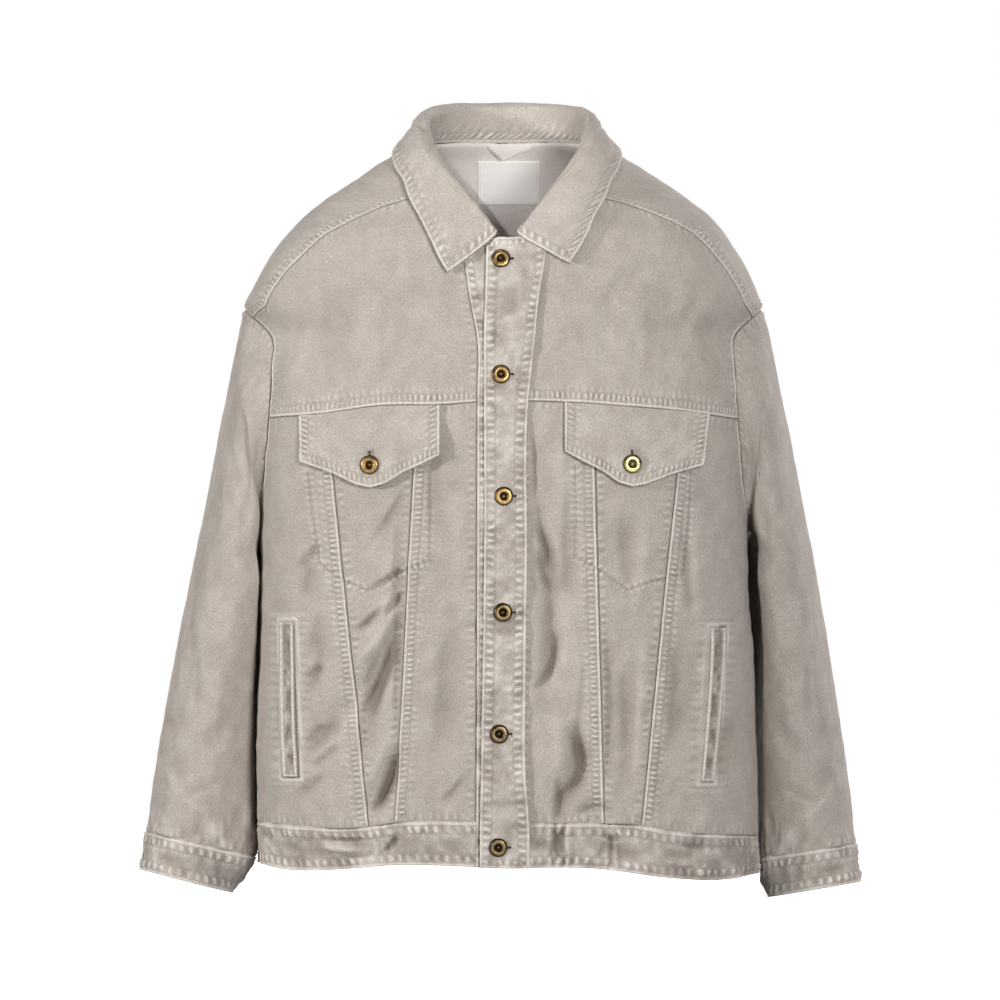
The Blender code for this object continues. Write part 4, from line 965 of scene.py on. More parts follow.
def from_polyline(a, b, points):
    """Distance from each point (a, b) to a polyline, its side, and how far along the nearest place is."""
    points = np.asarray(points, float)
    best, side, reach = np.full(a.shape, 9.0), np.ones(a.shape), np.zeros(a.shape)
    start = 0.0
    for (a0, b0), (a1, b1) in zip(points[:-1], points[1:]):
        run, rise = a1 - a0, b1 - b0
        length = math.hypot(run, rise)
        share = np.clip(((a - a0) * run + (b - b0) * rise) / length**2, 0, 1)
        away = np.hypot(a - a0 - share * run, b - b0 - share * rise)
        nearer = away < best
        cross = (a - a0) * rise - (b - b0) * run
        best = np.where(nearer, away, best)
        side = np.where(nearer, np.sign(cross), side)
        reach = np.where(nearer, start + share * length, reach)
        start += length
    return best, side, reach, start


def bent(ends, count=9):
    """Points along a curve through three points, given as six numbers."""
    a0, b0, a1, b1, a2, b2 = ends
    t = np.linspace(0, 1, count)[:, None]
    start, middle, end = np.array([a0, b0]), np.array([a1, b1]), np.array([a2, b2])
    pull = 2 * middle - (start + end) / 2
    return (1 - t) ** 2 * start + 2 * t * (1 - t) * pull + t**2 * end


def crease(a, b, ends, half_width, height):
    """A soft trough or ridge that is steeper on one side and fades at its ends."""
    points = bent(ends)
    margin = half_width * 4
    low, high = points.min(axis=0) - margin, points.max(axis=0) + margin
    near = (a > low[0]) & (a < high[0]) & (b > low[1]) & (b < high[1])
    total = np.zeros(a.shape)
    if near.any():
        away, side, reach, length = from_polyline(a[near], b[near], points)
        fade = ease(reach, 0, length * 0.35) * (1 - ease(reach, length * 0.6, length))
        width = half_width * np.where(side > 0, 0.62, 1.40)
        total[near] = height * hump(away, width) * fade
    return total


def body_creases(angle, x, z):
    """Height of the body's creases, and the part of it painted into the colour: painted shade in troughs and dips,
    rubbed wear on ridges.
    """
    creased = np.zeros(x.shape)
    for facing, rows in CREASES.items():
        side = (np.cos(angle) > 0) == (facing == "front")
        for *ends, half_width, height in rows:
            creased += np.where(side, crease(x, z, ends, half_width, height), 0)
    creased *= CREASE_DEPTH * (0.45 + 0.55 * ease(-z, 0.22, 0.26))  # shallower on the yoke
    lean = x + 0.12 * z
    broad = noise(lean / 0.028 + 7, z / 0.100, 3) * 0.0012 + noise(lean / 0.015, z / 0.050, 4) * 0.00060
    broad = broad * (0.40 + 0.60 * ease(-z, 0.20, 0.30))
    fine = noise((x - 0.5 * z) / 0.011, (z + 0.4 * x) / 0.019, 5) * 0.00060
    fine += noise((x + 0.3 * z) / 0.0055, (z - 0.2 * x) / 0.0085, 6) * 0.00022
    # Painted shade: troughs and dips of the cloth are darkened in its colour, and ridges are lightened as rubbed
    # wear.
    rubbed_and_shaded = creased * np.where(creased < 0, TROUGH_SHADE, RIDGE_WEAR)
    return creased + broad + fine, rubbed_and_shaded + fine * 0.5 + broad * 0.15


def puckers(along_seam, away, pitch, seed):
    """Uneven rungs across a seam: the turn of each place, the rung from 0 to 1 and how strong it is."""
    flat = along_seam * 0 + 0.5
    wobble = 0.34 * noise(along_seam / 0.017, flat, seed)
    wobble += 0.16 * noise(along_seam / 0.006, away / 0.005, seed + 1)
    slant = 0.16 * noise(along_seam / 0.04, flat, seed + 2) * away / 0.006
    phase = along_seam / pitch + wobble + slant
    strength = 0.80 + 0.60 * noise(along_seam / 0.011, away / 0.007, seed + 3)
    return phase, (0.5 + 0.5 * np.cos(2 * math.pi * phase)) ** 1.3, strength


def seam_relief(kind, away, along_seam, seed):
    """Height and wear beside a seam of that kind, and the turn and strength of its rungs."""
    ridge_height, rows, pucker, pitch, spill = SEAMS[kind]
    phase, rung, strength = puckers(along_seam, away, pitch, seed)
    _, loose_rung, loose_strength = puckers(along_seam, away, pitch * 1.3, seed + 5)
    if not rows:
        dip = hump(away, 0.0010)
        loose = hump(away - 0.0040, 0.0036) * ease(away, 0.0006, 0.0024)
        height = ridge_height * dip + pucker * loose * (loose_rung - 0.35) * loose_strength
        return height, 0.8 * loose * (loose_rung - 0.45) * loose_strength - 0.7 * dip, phase, 0.35 * loose
    first, last = rows[0], rows[-1]
    edge = hump(away - first * 0.45, first * 0.42)
    grooves = sum(hump(away - row, 0.0008) for row in rows)
    inside = ease(away, first * 0.9, first + 0.0016) * (1 - ease(away, last - 0.0016, last + 0.0002))
    if len(rows) == 1:
        inside = 0 * away
    beyond = hump(away - last - 0.0030, 0.0034) * ease(away, last, last + 0.0014)
    rungs = inside * rung * strength
    loose = spill * beyond * (loose_rung - 0.25) * loose_strength
    height = ridge_height * edge * (0.85 + 0.25 * rung) - 0.00035 * grooves + pucker * (rungs + loose)
    wear_and_shade = 1.5 * edge - 0.40 * grooves + inside * strength * (0.5 * rung - 0.1) + 1.3 * loose
    return height, wear_and_shade, phase, np.maximum(inside, 0.45 * edge) * strength


def stations(length, fine, coarse, band, multiple):
    """Shares from 0 to 1 with fine steps near both ends, in a number that is a multiple."""
    at = np.linspace(0, length, 400)
    edge = np.minimum(at, length - at)
    density = 1 / (fine + (coarse - fine) * ease(edge, band, band * 1.8))
    total = np.concatenate([[0], np.cumsum((density[1:] + density[:-1]) / 2 * np.diff(at))])
    count = max(int(math.ceil(total[-1] / multiple)), 1) * multiple
    return np.interp(np.linspace(0, total[-1], count + 1), total, at / length)


# ------------------------------------------------------------------ meshes
SEAM_BAND = 0.013  # beside an edge, how far the steps stay fine


def zipper(outer, inner, ratio):
    """Triangles between a chain of outer corners and a coarser chain of inner ones."""
    faces = []
    for k in range(len(inner) - 1):
        a, b = inner[k], inner[k + 1]
        chain = outer[k * ratio : (k + 1) * ratio + 1]
        half = ratio // 2
        faces += [(a, chain[q], chain[q + 1]) for q in range(half)]
        faces += [(b, chain[q], chain[q + 1]) for q in range(half, ratio)]
        faces.append((a, chain[half], b))
    return faces


def grid_faces(wide, high, first, closed):
    i, j = np.meshgrid(np.arange(wide if closed else wide - 1), np.arange(high - 1), indexing="ij")
    here, beyond = first + i * high + j, first + ((i + 1) % wide) * high + j
    return np.stack([here, beyond, beyond + 1, here + 1], axis=-1).reshape(-1, 4).tolist()


def make_mesh(name, points, faces, looks, look_of_face=None, floats=None, vectors=None):
    mesh = bpy.data.meshes.new(name)
    mesh.from_pydata(points.tolist(), [], faces)
    for look in looks:
        mesh.materials.append(look)
    if look_of_face is not None:
        mesh.polygons.foreach_set("material_index", np.asarray(look_of_face, np.int32))
    for key, values in (floats or {}).items():
        mesh.attributes.new(key, "FLOAT", "POINT").data.foreach_set("value", values.astype(np.float32))
    for key, values in (vectors or {}).items():
        data = mesh.attributes.new(key, "FLOAT_VECTOR", "POINT").data
        data.foreach_set("vector", values.astype(np.float32).ravel())
    shape = bmesh.new()
    shape.from_mesh(mesh)
    bmesh.ops.recalc_face_normals(shape, faces=shape.faces)
    shape.to_mesh(mesh)
    shape.free()
    mesh.shade_smooth()
    made = bpy.data.objects.new(name, mesh)
    bpy.context.scene.collection.objects.link(made)
    return made


def lengths_of(points):
    """Cumulative length along each row of a grid, in both directions."""
    step_u = np.linalg.norm(np.diff(points, axis=0), axis=-1)
    step_v = np.linalg.norm(np.diff(points, axis=1), axis=-1)
    u = np.concatenate([np.zeros((1, points.shape[1])), np.cumsum(step_u, axis=0)])
    v = np.concatenate([np.zeros((points.shape[0], 1)), np.cumsum(step_v, axis=1)], axis=1)
    return u, v


def all_seams(name, edges, u, v):
    """Relief and wear from all seams of a piece, and the turn and strength of the nearest one's rungs."""
    places = {"start": (u, v), "end": (u[-1:] - u, v), "low": (v, u), "top": (v[:, -1:] - v, u)}
    relief, wear_and_shade, phase, rungs, most = (np.zeros(u.shape) for _ in range(5))
    weights = 1e-9
    for k, (edge, kind) in enumerate(edges.items()):
        away, reach = places[edge]
        weight = (np.abs(away) + 0.0006) ** -2
        h, w, turn, strong = seam_relief(kind, away, reach, 11 * k + len(name))
        relief, wear_and_shade, weights = relief + h * weight, wear_and_shade + w * weight, weights + weight
        pairs = (turn, phase), (strong, rungs), (weight, most)
        nearest = weight > most
        phase, rungs, most = (np.where(nearest, *pair) for pair in pairs)
    return relief / weights, wear_and_shade / weights, phase, rungs


def sheet_wall(name, surface, edges, more=None, closed=False, skins=(0.0, -CLOTH), fine=(0.0011, 0.0014),
               coarse=(0.0026, 0.0014), inner=3, looks=("cloth", "inside"),
               lip=0.0, lap=0.0, ends=False):
    """A piece of cloth: a fine outer skin with its seams' relief, and an inner skin.

    Its steps are fine near its edges and coarse away from them, across and up, and the inner skin takes
    one step for a few of the outer one's. Its inner layer is longer by the lip and its low edge by the lap.
    """
    probe = np.meshgrid(np.linspace(0, 1, 25), np.linspace(0, 1, 25), indexing="ij")
    flat = surface(*probe, 0.0)
    u, v = lengths_of(flat)
    width, height = u[-1].mean(), v[:, -1].mean()
    across = stations(width, fine[0], coarse[0], SEAM_BAND, inner)
    up = stations(height, fine[1], coarse[1], SEAM_BAND, inner)
    if closed:
        across = np.linspace(0, 1, int(width / fine[0] / inner) * inner + 1)
    grid = np.meshgrid(across, up, indexing="ij")
    base = surface(*grid, 0.0)
    u, v = lengths_of(base)
    relief, wear_and_shade, phase, rungs = all_seams(name, edges, u, v)
    soft = 0 * u
    if more is not None:
        soft, h, w = more(base, grid, u, v)
        relief, wear_and_shade = relief + h, wear_and_shade + w
    outer = surface(*grid, skins[0] + soft + relief)
    rows = seam_rows(outer, outer - surface(*grid, skins[1]), edges, u, v)
    coarse_grid = [g[::inner, ::inner] for g in grid]
    under = surface(*coarse_grid, skins[1] + lowest_near(soft, inner)[::inner, ::inner])
    under[:, -1] += lip * unit(under[:, -1] - under[:, -2])
    outer[:, 0] += lap * unit(outer[:, 0] - outer[:, 1])
    if ends:
        under[0] += lip * unit(under[0] - under[1])
        under[-1] += lip * unit(under[-1] - under[-2])
    if closed:
        outer, under, wear_and_shade, u, v = outer[:-1], under[:-1], wear_and_shade[:-1], u[:-1], v[:-1]
        phase, rungs = phase[:-1], rungs[:-1]
    wide, high = outer.shape[:2]
    in_wide, in_high = under.shape[:2]
    faces = grid_faces(wide, high, 0, closed)
    outer_count = len(faces)
    faces += grid_faces(in_wide, in_high, wide * high, closed)
    number = np.arange(wide * high).reshape(wide, high)
    number_in = wide * high + np.arange(in_wide * in_high).reshape(in_wide, in_high)
    if closed:
        number, number_in = np.vstack([number, number[:1]]), np.vstack([number_in, number_in[:1]])
    rims = [(number[:, 0], number_in[:, 0]), (number[:, -1], number_in[:, -1])]
    if not closed:
        rims += [(number[0], number_in[0]), (number[-1], number_in[-1])]
    inner_count = len(faces) - outer_count
    for chain, chain_in in rims:
        faces += zipper(chain.tolist(), chain_in.tolist(), inner)
    look_of_face = [0] * outer_count + [1] * inner_count + [0] * (len(faces) - outer_count - inner_count)
    points = np.concatenate([outer.reshape(-1, 3), under.reshape(-1, 3)])
    wear_and_shade_all = np.concatenate([wear_and_shade.ravel(), np.zeros(in_wide * in_high)])
    grain = np.stack([u, v, 0 * u], axis=-1)
    rung = np.stack([phase, rungs, 0 * u], axis=-1)
    vectors = {
        key: np.concatenate([skin.reshape(-1, 3), (skin[::inner, ::inner] * kept).reshape(-1, 3)])
        for key, skin, kept in (("grain", grain, (1, 1, 1)), ("rung", rung, (1, 0, 0)))
    }
    made = make_mesh(f"{name}_cloth", points, faces, [LOOKS[look] for look in looks], look_of_face,
                     {"wear_and_shade": wear_and_shade_all}, vectors)
    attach(made, "root")
    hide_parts(name)
    stitch_mesh(f"stitches_{name}", rows)
    return made


# ------------------------------------------------------------------ stitches
THREAD = {"pitch": 0.0033, "length": 0.0024, "radius": 0.00028, "sunk": 0.0002, "raised": 0.00012}


def stitch_mesh(name, rows):
    """Short threads, tapered at both ends, along rows of (points, normals)."""
    points, faces = [], []
    for line, normals in rows:
        reach = np.concatenate([[0], np.cumsum(np.linalg.norm(np.diff(line, axis=0), axis=1))])
        count = int(reach[-1] / THREAD["pitch"])
        for k in range(count):
            at = (k + 0.5) * THREAD["pitch"]
            ends = at + np.array([-0.5, 0.0, 0.5]) * THREAD["length"]
            centre = np.stack([np.interp(ends, reach, line[:, c]) for c in range(3)], axis=-1)
            up = unit(np.array([np.interp(at, reach, normals[:, c]) for c in range(3)]))
            ahead = unit(centre[2] - centre[0])
            side = np.cross(ahead, up)
            first = len(points)
            points += [centre[0] - up * THREAD["sunk"], centre[2] - up * THREAD["sunk"]]
            ring = [side, up * 1.4, -side, -up]
            points += [centre[1] + up * THREAD["raised"] + r * THREAD["radius"] for r in ring]
            for q in range(4):
                one, two = first + 2 + q, first + 2 + (q + 1) % 4
                faces += [(first, one, two), (first + 1, two, one)]
    if not points:
        return None
    made = make_mesh(name, np.array(points), faces, [LOOKS["thread"]])
    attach(made, "root")
    return made


def row_at(outer, normals, distances, far):
    """The line on a grid where the distances along its second axis reach a value."""
    line, up = [], []
    for points, turn, reach in zip(outer, normals, distances):
        if reach.max() < far:
            continue
        line.append([np.interp(far, reach, points[:, c]) for c in range(3)])
        up.append([np.interp(far, reach, turn[:, c]) for c in range(3)])
    return np.array(line), np.array(up)


def grid_normals(points, outward):
    across, up = np.gradient(points, axis=0), np.gradient(points, axis=1)
    turn = unit(np.cross(across, up))
    return turn * np.sign((turn * outward).sum(axis=-1, keepdims=True))


def seam_rows(outer, outward, edges, u, v):
    """Rows of stitches beside the edges of a grid."""
    normals = grid_normals(outer, outward)
    swap = lambda grid: np.swapaxes(grid, 0, 1)
    views = {
        "low": (outer, normals, v),
        "top": (outer[:, ::-1], normals[:, ::-1], (v[:, -1:] - v)[:, ::-1]),
        "start": (swap(outer), swap(normals), swap(u)),
        "end": (swap(outer[::-1]), swap(normals[::-1]), swap((u[-1:] - u)[::-1])),
    }
    rows = []
    for edge, kind in edges.items():
        for far in SEAMS[kind][1]:
            line, up = row_at(*views[edge], far)
            if len(line) > 2:
                rows.append((line, up))
    return rows


# ------------------------------------------------------------------ materials
class Look:
    """A material and its nodes."""

    def __init__(self, name):
        self.material = bpy.data.materials.new(name)
        self.material.use_nodes = True
        self.tree = self.material.node_tree
        self.shader = self.tree.nodes["Principled BSDF"]

    def add(self, kind, inputs=None, **settings):
        node = self.tree.nodes.new(kind)
        for key, value in settings.items():
            setattr(node, key, value)
        for key, value in (inputs or {}).items():
            if isinstance(value, bpy.types.NodeSocket):
                self.tree.links.new(value, node.inputs[key])
            else:
                node.inputs[key].default_value = value
        return node

    def maths(self, operation, a, b=0.0, c=0.0):
        node = self.add("ShaderNodeMath", {0: a, 1: b, 2: c}, operation=operation)
        return node.outputs[0]

    def noise(self, vector, scale, detail, seed=0.0):
        """Noise from 0 to 1 with a cell of one over each scale, in metres."""
        moved = self.add("ShaderNodeMapping",
                         {"Vector": vector, "Location": (seed, seed * 1.7, 0), "Scale": scale})
        made = self.add("ShaderNodeTexNoise",
                        {"Vector": moved.outputs[0], "Scale": 1.0, "Detail": detail, "Roughness": 0.6})
        return made.outputs["Fac"]

    def ramp(self, factor, stops):
        node = self.add("ShaderNodeValToRGB", {"Fac": factor})
        elements = node.color_ramp.elements
        while len(elements) < len(stops):
            elements.new(0.5)
        for element, (place, colour) in zip(elements, stops):
            element.position = place
            element.color = (*colour, 1.0)
        return node.outputs["Color"]

    def set(self, **values):
        for key, value in values.items():
            name = key.replace("_", " ")
            if isinstance(value, bpy.types.NodeSocket):
                self.tree.links.new(value, self.shader.inputs[name])
            else:
                self.shader.inputs[name].default_value = value


def cloth_look(name, dark, middle, light, wear_and_shade_share):
    """Washed cotton with fine slubs down the grain, lighter where seams are rubbed, and darker with painted shade
    in crease troughs and hollows, which the colour attribute carries.
    """
    look = Look(name)
    grain = look.add("ShaderNodeAttribute", attribute_name="grain").outputs["Vector"]
    wear_and_shade = look.add("ShaderNodeAttribute", attribute_name="wear_and_shade").outputs["Fac"]
    parts = look.add("ShaderNodeSeparateXYZ",
                     {0: look.add("ShaderNodeAttribute", attribute_name="rung").outputs["Vector"]})
    turn = look.maths("MULTIPLY", parts.outputs[0], 2 * math.pi)
    wave = look.maths("POWER", look.maths("MULTIPLY_ADD", look.maths("COSINE", turn), 0.5, 0.5), 1.4)
    rung = look.maths("MULTIPLY", look.maths("MULTIPLY_ADD", wave, 1.45, -0.62), parts.outputs[1])
    slub = look.noise(grain, (900, 260, 1), 3)
    nap = look.noise(grain, (720, 560, 1), 4, 5.0)
    blotch = look.noise(grain, (70, 45, 1), 5, 11.0)
    tone = look.maths("MULTIPLY_ADD", slub, 0.40, -0.245)
    tone = look.maths("ADD", tone, look.maths("MULTIPLY", nap, 0.80))
    tone = look.maths("ADD", tone, look.maths("MULTIPLY", blotch, 0.34))
    # The colour attribute adds rubbed lightening on seams and ridges, and painted shade in crease troughs, crumple
    # hollows, the collar's fold and the pocket slits.
    tone = look.maths("ADD", tone, look.maths("MULTIPLY", look.maths("ADD", wear_and_shade, rung), wear_and_shade_share))
    colour = look.ramp(tone, ((0.00, dark), (0.50, middle), (1.0, light)))
    height = look.maths("ADD", look.maths("MULTIPLY", slub, 0.6), look.maths("MULTIPLY", nap, 1.1))
    height = look.maths("ADD", height, look.maths("MULTIPLY", rung, 0.45))
    bump = look.add("ShaderNodeBump", {"Height": height, "Distance": 0.0005, "Strength": 0.8})
    look.set(Base_Color=colour, Normal=bump.outputs["Normal"], Roughness=0.92, Sheen_Weight=0.15,
             Sheen_Roughness=0.45, Specular_IOR_Level=0.12)
    return look.material


def thread_look():
    look = Look("thread")
    place = look.add("ShaderNodeTexCoord").outputs["Object"]
    tone = look.noise(place, (900, 900, 900), 2)
    look.set(Base_Color=look.ramp(tone, ((0.3, (0.50, 0.45, 0.40)), (0.7, (0.70, 0.65, 0.59)))),
             Roughness=0.7, Sheen_Weight=0.1, Specular_IOR_Level=0.3)
    return look.material


def label_look():
    look = Look("label_tape")
    grain = look.add("ShaderNodeAttribute", attribute_name="grain").outputs["Vector"]
    weave = look.noise(grain, (1500, 260, 1), 2)
    colour = look.ramp(weave, ((0.3, (0.92, 0.895, 0.855)), (0.7, (0.97, 0.95, 0.915))))
    bump = look.add("ShaderNodeBump", {"Height": weave, "Distance": 0.0001, "Strength": 0.5})
    look.set(Base_Color=colour, Normal=bump.outputs["Normal"], Roughness=0.6, Sheen_Weight=0.1)
    return look.material


def brass_look(name, dark, light):
    """Old brass, dark in its hollows."""
    look = Look(name)
    place = look.add("ShaderNodeTexCoord").outputs["Object"]
    wear_and_shade = look.add("ShaderNodeAttribute", attribute_name="wear_and_shade").outputs["Fac"]
    blotch = look.noise(place, (260, 260, 260), 4)
    tone = look.maths("MULTIPLY_ADD", blotch, 0.5, wear_and_shade)
    colour = look.ramp(tone, ((0.15, tuple(0.12 * c for c in dark)), (0.55, dark), (1.0, light)))
    rough = look.ramp(blotch, ((0.3, (0.24,) * 3), (0.7, (0.42,) * 3)))
    look.set(Base_Color=colour, Roughness=rough, Metallic=1.0)
    return look.material


# Painted shade: a near-black finish for the sheet laid in each buttonhole's opening.
def shadow_slit_look():
    look = Look("shadow_slit")
    place = look.add("ShaderNodeTexCoord").outputs["Object"]
    tone = look.noise(place, (700, 700, 700), 2)
    look.set(Base_Color=look.ramp(tone, ((0.3, (0.035, 0.028, 0.022)), (0.7, (0.075, 0.06, 0.05)))),
             Roughness=0.9)
    return look.material


LOOKS = {
    "cloth": cloth_look("washed_cotton", (0.250, 0.212, 0.178), (0.480, 0.425, 0.380),
                        (0.800, 0.745, 0.690), 0.30),
    # The reverse of the same cloth, much paler than the face: partly its own greyer, paler tone and partly painted
    # light for the dim inside of the neck.
    "inside": cloth_look("cotton_inside_with_painted_light", (0.560, 0.505, 0.470), (0.800, 0.735, 0.695),
                         (0.890, 0.845, 0.810), 0.15),
    "tape": cloth_look("cotton_tape", (0.600, 0.550, 0.510), (0.930, 0.875, 0.830),
                       (0.960, 0.930, 0.900), 0.20),
    "thread": thread_look(),
    "label": label_look(),
    "brass": brass_look("old_brass", (0.24, 0.15, 0.06), (0.62, 0.43, 0.20)),
    "pale_brass": brass_look("pale_brass", (0.42, 0.32, 0.14), (0.86, 0.74, 0.44)),
    "dark_brass": brass_look("dark_brass", (0.10, 0.072, 0.036), (0.36, 0.27, 0.14)),
    "shadow_slit": shadow_slit_look(),
}


# ------------------------------------------------------------------ what lies across the panels
# Lines pressed through the cloth: the pocket bags' seams, seen from the front.
PRESSED = (
    # x, z
    in_metres(((-174.5, -290), (-170, -330), (-164, -372), (-143, -387), (-120, -396), (-106, -390),
               (-88, -378), (-65, -370), (-64.8, -290))),
    in_metres(((65.5, -285), (66, -366), (88, -378), (113, -396), (125, -391), (147, -385), (164, -382),
               (170, -290))),
)
WELT_RIDGE = 0.0030  # from a welt's edge to the ridge round it


def front_angle(base):
    """Angle of points on the body's surface."""
    _, middle_x, middle_y, *_ = section(base[..., 2])
    return np.arctan2(base[..., 0] - middle_x, middle_y - base[..., 1])


def welt_frame(x, z, side):
    """Relief of the panel round a welt: a ridge, puckers outside it and, on the left, a slit beside it, dipped and
    painted dark as shade.
    """
    inner_top, outer_top, top_z, inner_low, outer_low, low_z = WELTS[side]
    share = np.clip((z - low_z) / (top_z - low_z), 0, 1)
    first, last = inner_low + (inner_top - inner_low) * share, outer_low + (outer_top - outer_low) * share
    middle, half = (first + last) / 2, np.abs(last - first) / 2
    beyond = np.maximum(np.abs(x - middle) - half, np.maximum(z - top_z, low_z - z))
    ridge = hump(beyond - WELT_RIDGE, 0.0012)
    pitch = 0.5 + 0.5 * np.cos(2 * math.pi * (z / 0.0085 + 0.4 * noise(z / 0.02, x * 0, 21)))
    outside = hump(beyond - WELT_RIDGE - 0.0045, 0.0040) * ease(beyond, WELT_RIDGE, WELT_RIDGE + 0.002)
    shadow_slit = 0 * x
    # Painted shade: the pocket opening beside the left welt is darkened in colour as well as dipped.
    if side == "left":
        shadow_slit = hump(beyond - 0.0012, 0.0010) * ease((x - middle) * np.sign(x), 0, 0.003)
        shadow_slit = shadow_slit * ease(z, low_z, low_z + 0.02)
    height = 0.0011 * ridge + 0.0005 * outside * pitch - 0.0012 * shadow_slit
    return height, 1.3 * ridge + 0.6 * outside * (pitch - 0.4) - 3.0 * shadow_slit


def on_panel(base, grid, u, v):
    """Soft creases, with painted shade in their troughs, and relief and wear from the lines pressed through a panel
    of the body and round its welts.
    """
    x, z = base[..., 0], base[..., 2]
    angle = front_angle(base)
    soft, rubbed_and_shaded = body_creases(angle, x, z)
    height, wear_and_shade = 0 * x, rubbed_and_shaded / CREASE_SHADE_AND_WEAR
    front = np.where(np.cos(angle) > 0.1, 1, 0)
    for k, line in enumerate(PRESSED):
        away, _, reach, _ = from_polyline(x, z, line)
        turn = reach / 0.0058 + 0.4 * noise(reach / 0.012, away / 0.004, 40 + k)
        ridge = 0.5 + 0.5 * np.cos(2 * math.pi * turn)
        loose = hump(away - 0.0022, 0.0022) * front * (0.6 + 0.5 * noise(reach / 0.02, away * 0, 50 + k))
        groove = hump(away, 0.0010) * front
        height = height - 0.00060 * groove + 0.00070 * loose * ridge
        wear_and_shade = wear_and_shade - 0.9 * groove + 1.5 * loose * (ridge - 0.3)
    for side in ("left", "right"):
        h, w = welt_frame(x, z, side)
        height, wear_and_shade = height + front * h, wear_and_shade + front * w
    return soft, height, wear_and_shade


def towards_body(sign, around, down):
    """How far the wearer's right sleeve reaches out beside the body, and how the left one sinks there."""
    side = np.cos(2 * math.pi * (around - SLEEVE_INNER / 360))
    bulge = SLEEVE_BULGE * ease(down, 0.70, 0.93) * ease(side, 0.1, 1.0)
    if sign < 0:
        return bulge
    depth = RECESS["depth"] * ease(down, 0.09, 0.36) * (1 - 0.75 * ease(down, 0.50, 0.80))
    return -depth * hump(around - RECESS["turn"], RECESS["width"])


def on_sleeve(sign):
    """Soft creases round a sleeve, with finer ones near the cuff, their dips painted darker as shade and their
    crests lighter as rubbed wear.
    """

    def more(base, grid, u, v):
        around, down = grid[0], 1 - grid[1]
        soft = noise(around * 15 + down * 3, down * 3.6, 61) * 0.0006
        soft += noise(around * 30 - down * 5, down * 11, 62) * 0.00025
        x, z = around * SLEEVE_ROUND, down * SLEEVE_LONG
        for *ends, half_width, height in SLEEVE_CREASES:
            ends = np.array(ends) * ([SLEEVE_ROUND / 360, SLEEVE_LONG] * 3)
            soft += crease(x, z, ends, half_width, height * SLEEVE_CREASE_DEPTH)
        crumple = noise(around * 40, down * 26, 63) * 0.0011 + noise(around * 80, down * 60, 64) * 0.0005
        inside = 0.45 + 0.55 * ease(np.cos(2 * math.pi * (around - 0.42)), 0.2, 0.9)
        most = 2.6 if sign < 0 else 1.4
        soft = soft + crumple * ease(down, 0.86, 1.0) * inside * most * (1 - ease(down, 0.992, 1.0))
        pebble = waves(u, v, "sleeve")
        # Painted shade: the colour follows the creases, bumps and crumples, darker in their hollows and lighter on
        # their crests.
        wear_and_shade = 0.12 * soft / CREASE_SHADE_AND_WEAR + pebble / 0.0016
        wear_and_shade = wear_and_shade + 0.8 * crumple / 0.0016 * ease(down, 0.86, 0.98) * inside
        return soft + towards_body(sign, around, down), pebble, wear_and_shade

    return more


def on_cuff(sign):
    """Crinkles of a cuff, which carries on the shape of its sleeve, painted darker in their dips as shade and
    lighter on their crests.
    """

    def more(base, grid, u, v):
        soft = waves(u, v, "cuff")
        # Painted shade: darker in the crinkles' dips, lighter on their crests.
        wear_and_shade = soft / 0.0020
        bulge = towards_body(sign, grid[0], grid[0] * 0 + 1) * ease(grid[1], 0.0, 1.0)
        return soft * ease(grid[1], 0, 0.12) + bulge, 0 * soft, wear_and_shade

    return more


def on_waistband(base, grid, u, v):
    """Shallow crumples along the waistband, some of them gathered near the placket, their hollows painted darker as
    shade and their crests a little lighter.
    """
    x, z, front = base[..., 0], base[..., 2], np.where(base[..., 1] < 0, 1, 0)
    soft = noise(u / 0.020, v / 0.012 + u / 0.06, 87) * 0.0015 + noise(u / 0.009, v / 0.007, 88) * 0.0009
    gathered = hump(x - 0.052, 0.010) + 0.7 * hump(x - 0.098, 0.008) + 0.6 * hump(x + 0.105, 0.012)
    turn = u / 0.0085 + 0.3 * noise(u / 0.01, v / 0.01, 90)
    soft = soft + front * gathered * 0.0014 * np.cos(2 * math.pi * turn)
    for *ends, half_width, height in BAND_CREASES:
        soft = soft + front * crease(x, z, ends, half_width, height * BAND_CREASE_DEPTH)
    # Painted shade: the hollows darken the colour fully, the crests lighten it by less.
    return soft, 0 * soft, np.minimum(soft, soft * 0.6) / 0.0016


def on_flap(side):
    """Crinkles of a flap, whose free edges stand off the front, most of all at the end towards +X."""

    def more(base, grid, u, v):
        soft, fine, wear_and_shade = crinkled(85, 0.0007, 0.017)(base, grid, u, v)
        across = grid[0] if side == "left" else 1 - grid[0]
        down = 1 - grid[1]
        stand = FLAP_STAND * (0.20 + 0.80 * across**2.5) * ease(down, 0.15, 1.0)
        return soft + stand, fine, wear_and_shade

    return more


def on_welt(base, grid, u, v):
    """Uneven patches along the hollow of a welt between its two edges, which is dipped and painted darker as shade.
    """
    uneven_patches = noise(v / 0.0085, u / 0.006, 89) + 0.6 * noise(v / 0.0036, u / 0.003, 91)
    inside = ease(grid[0], 0.12, 0.36) * (1 - ease(grid[0], 0.64, 0.88))
    # Painted shade: the hollow is darkened throughout, with uneven lighter and darker patches.
    return 0 * u, inside * (0.0005 * uneven_patches - 0.0007), inside * (1.3 * uneven_patches - 0.9)


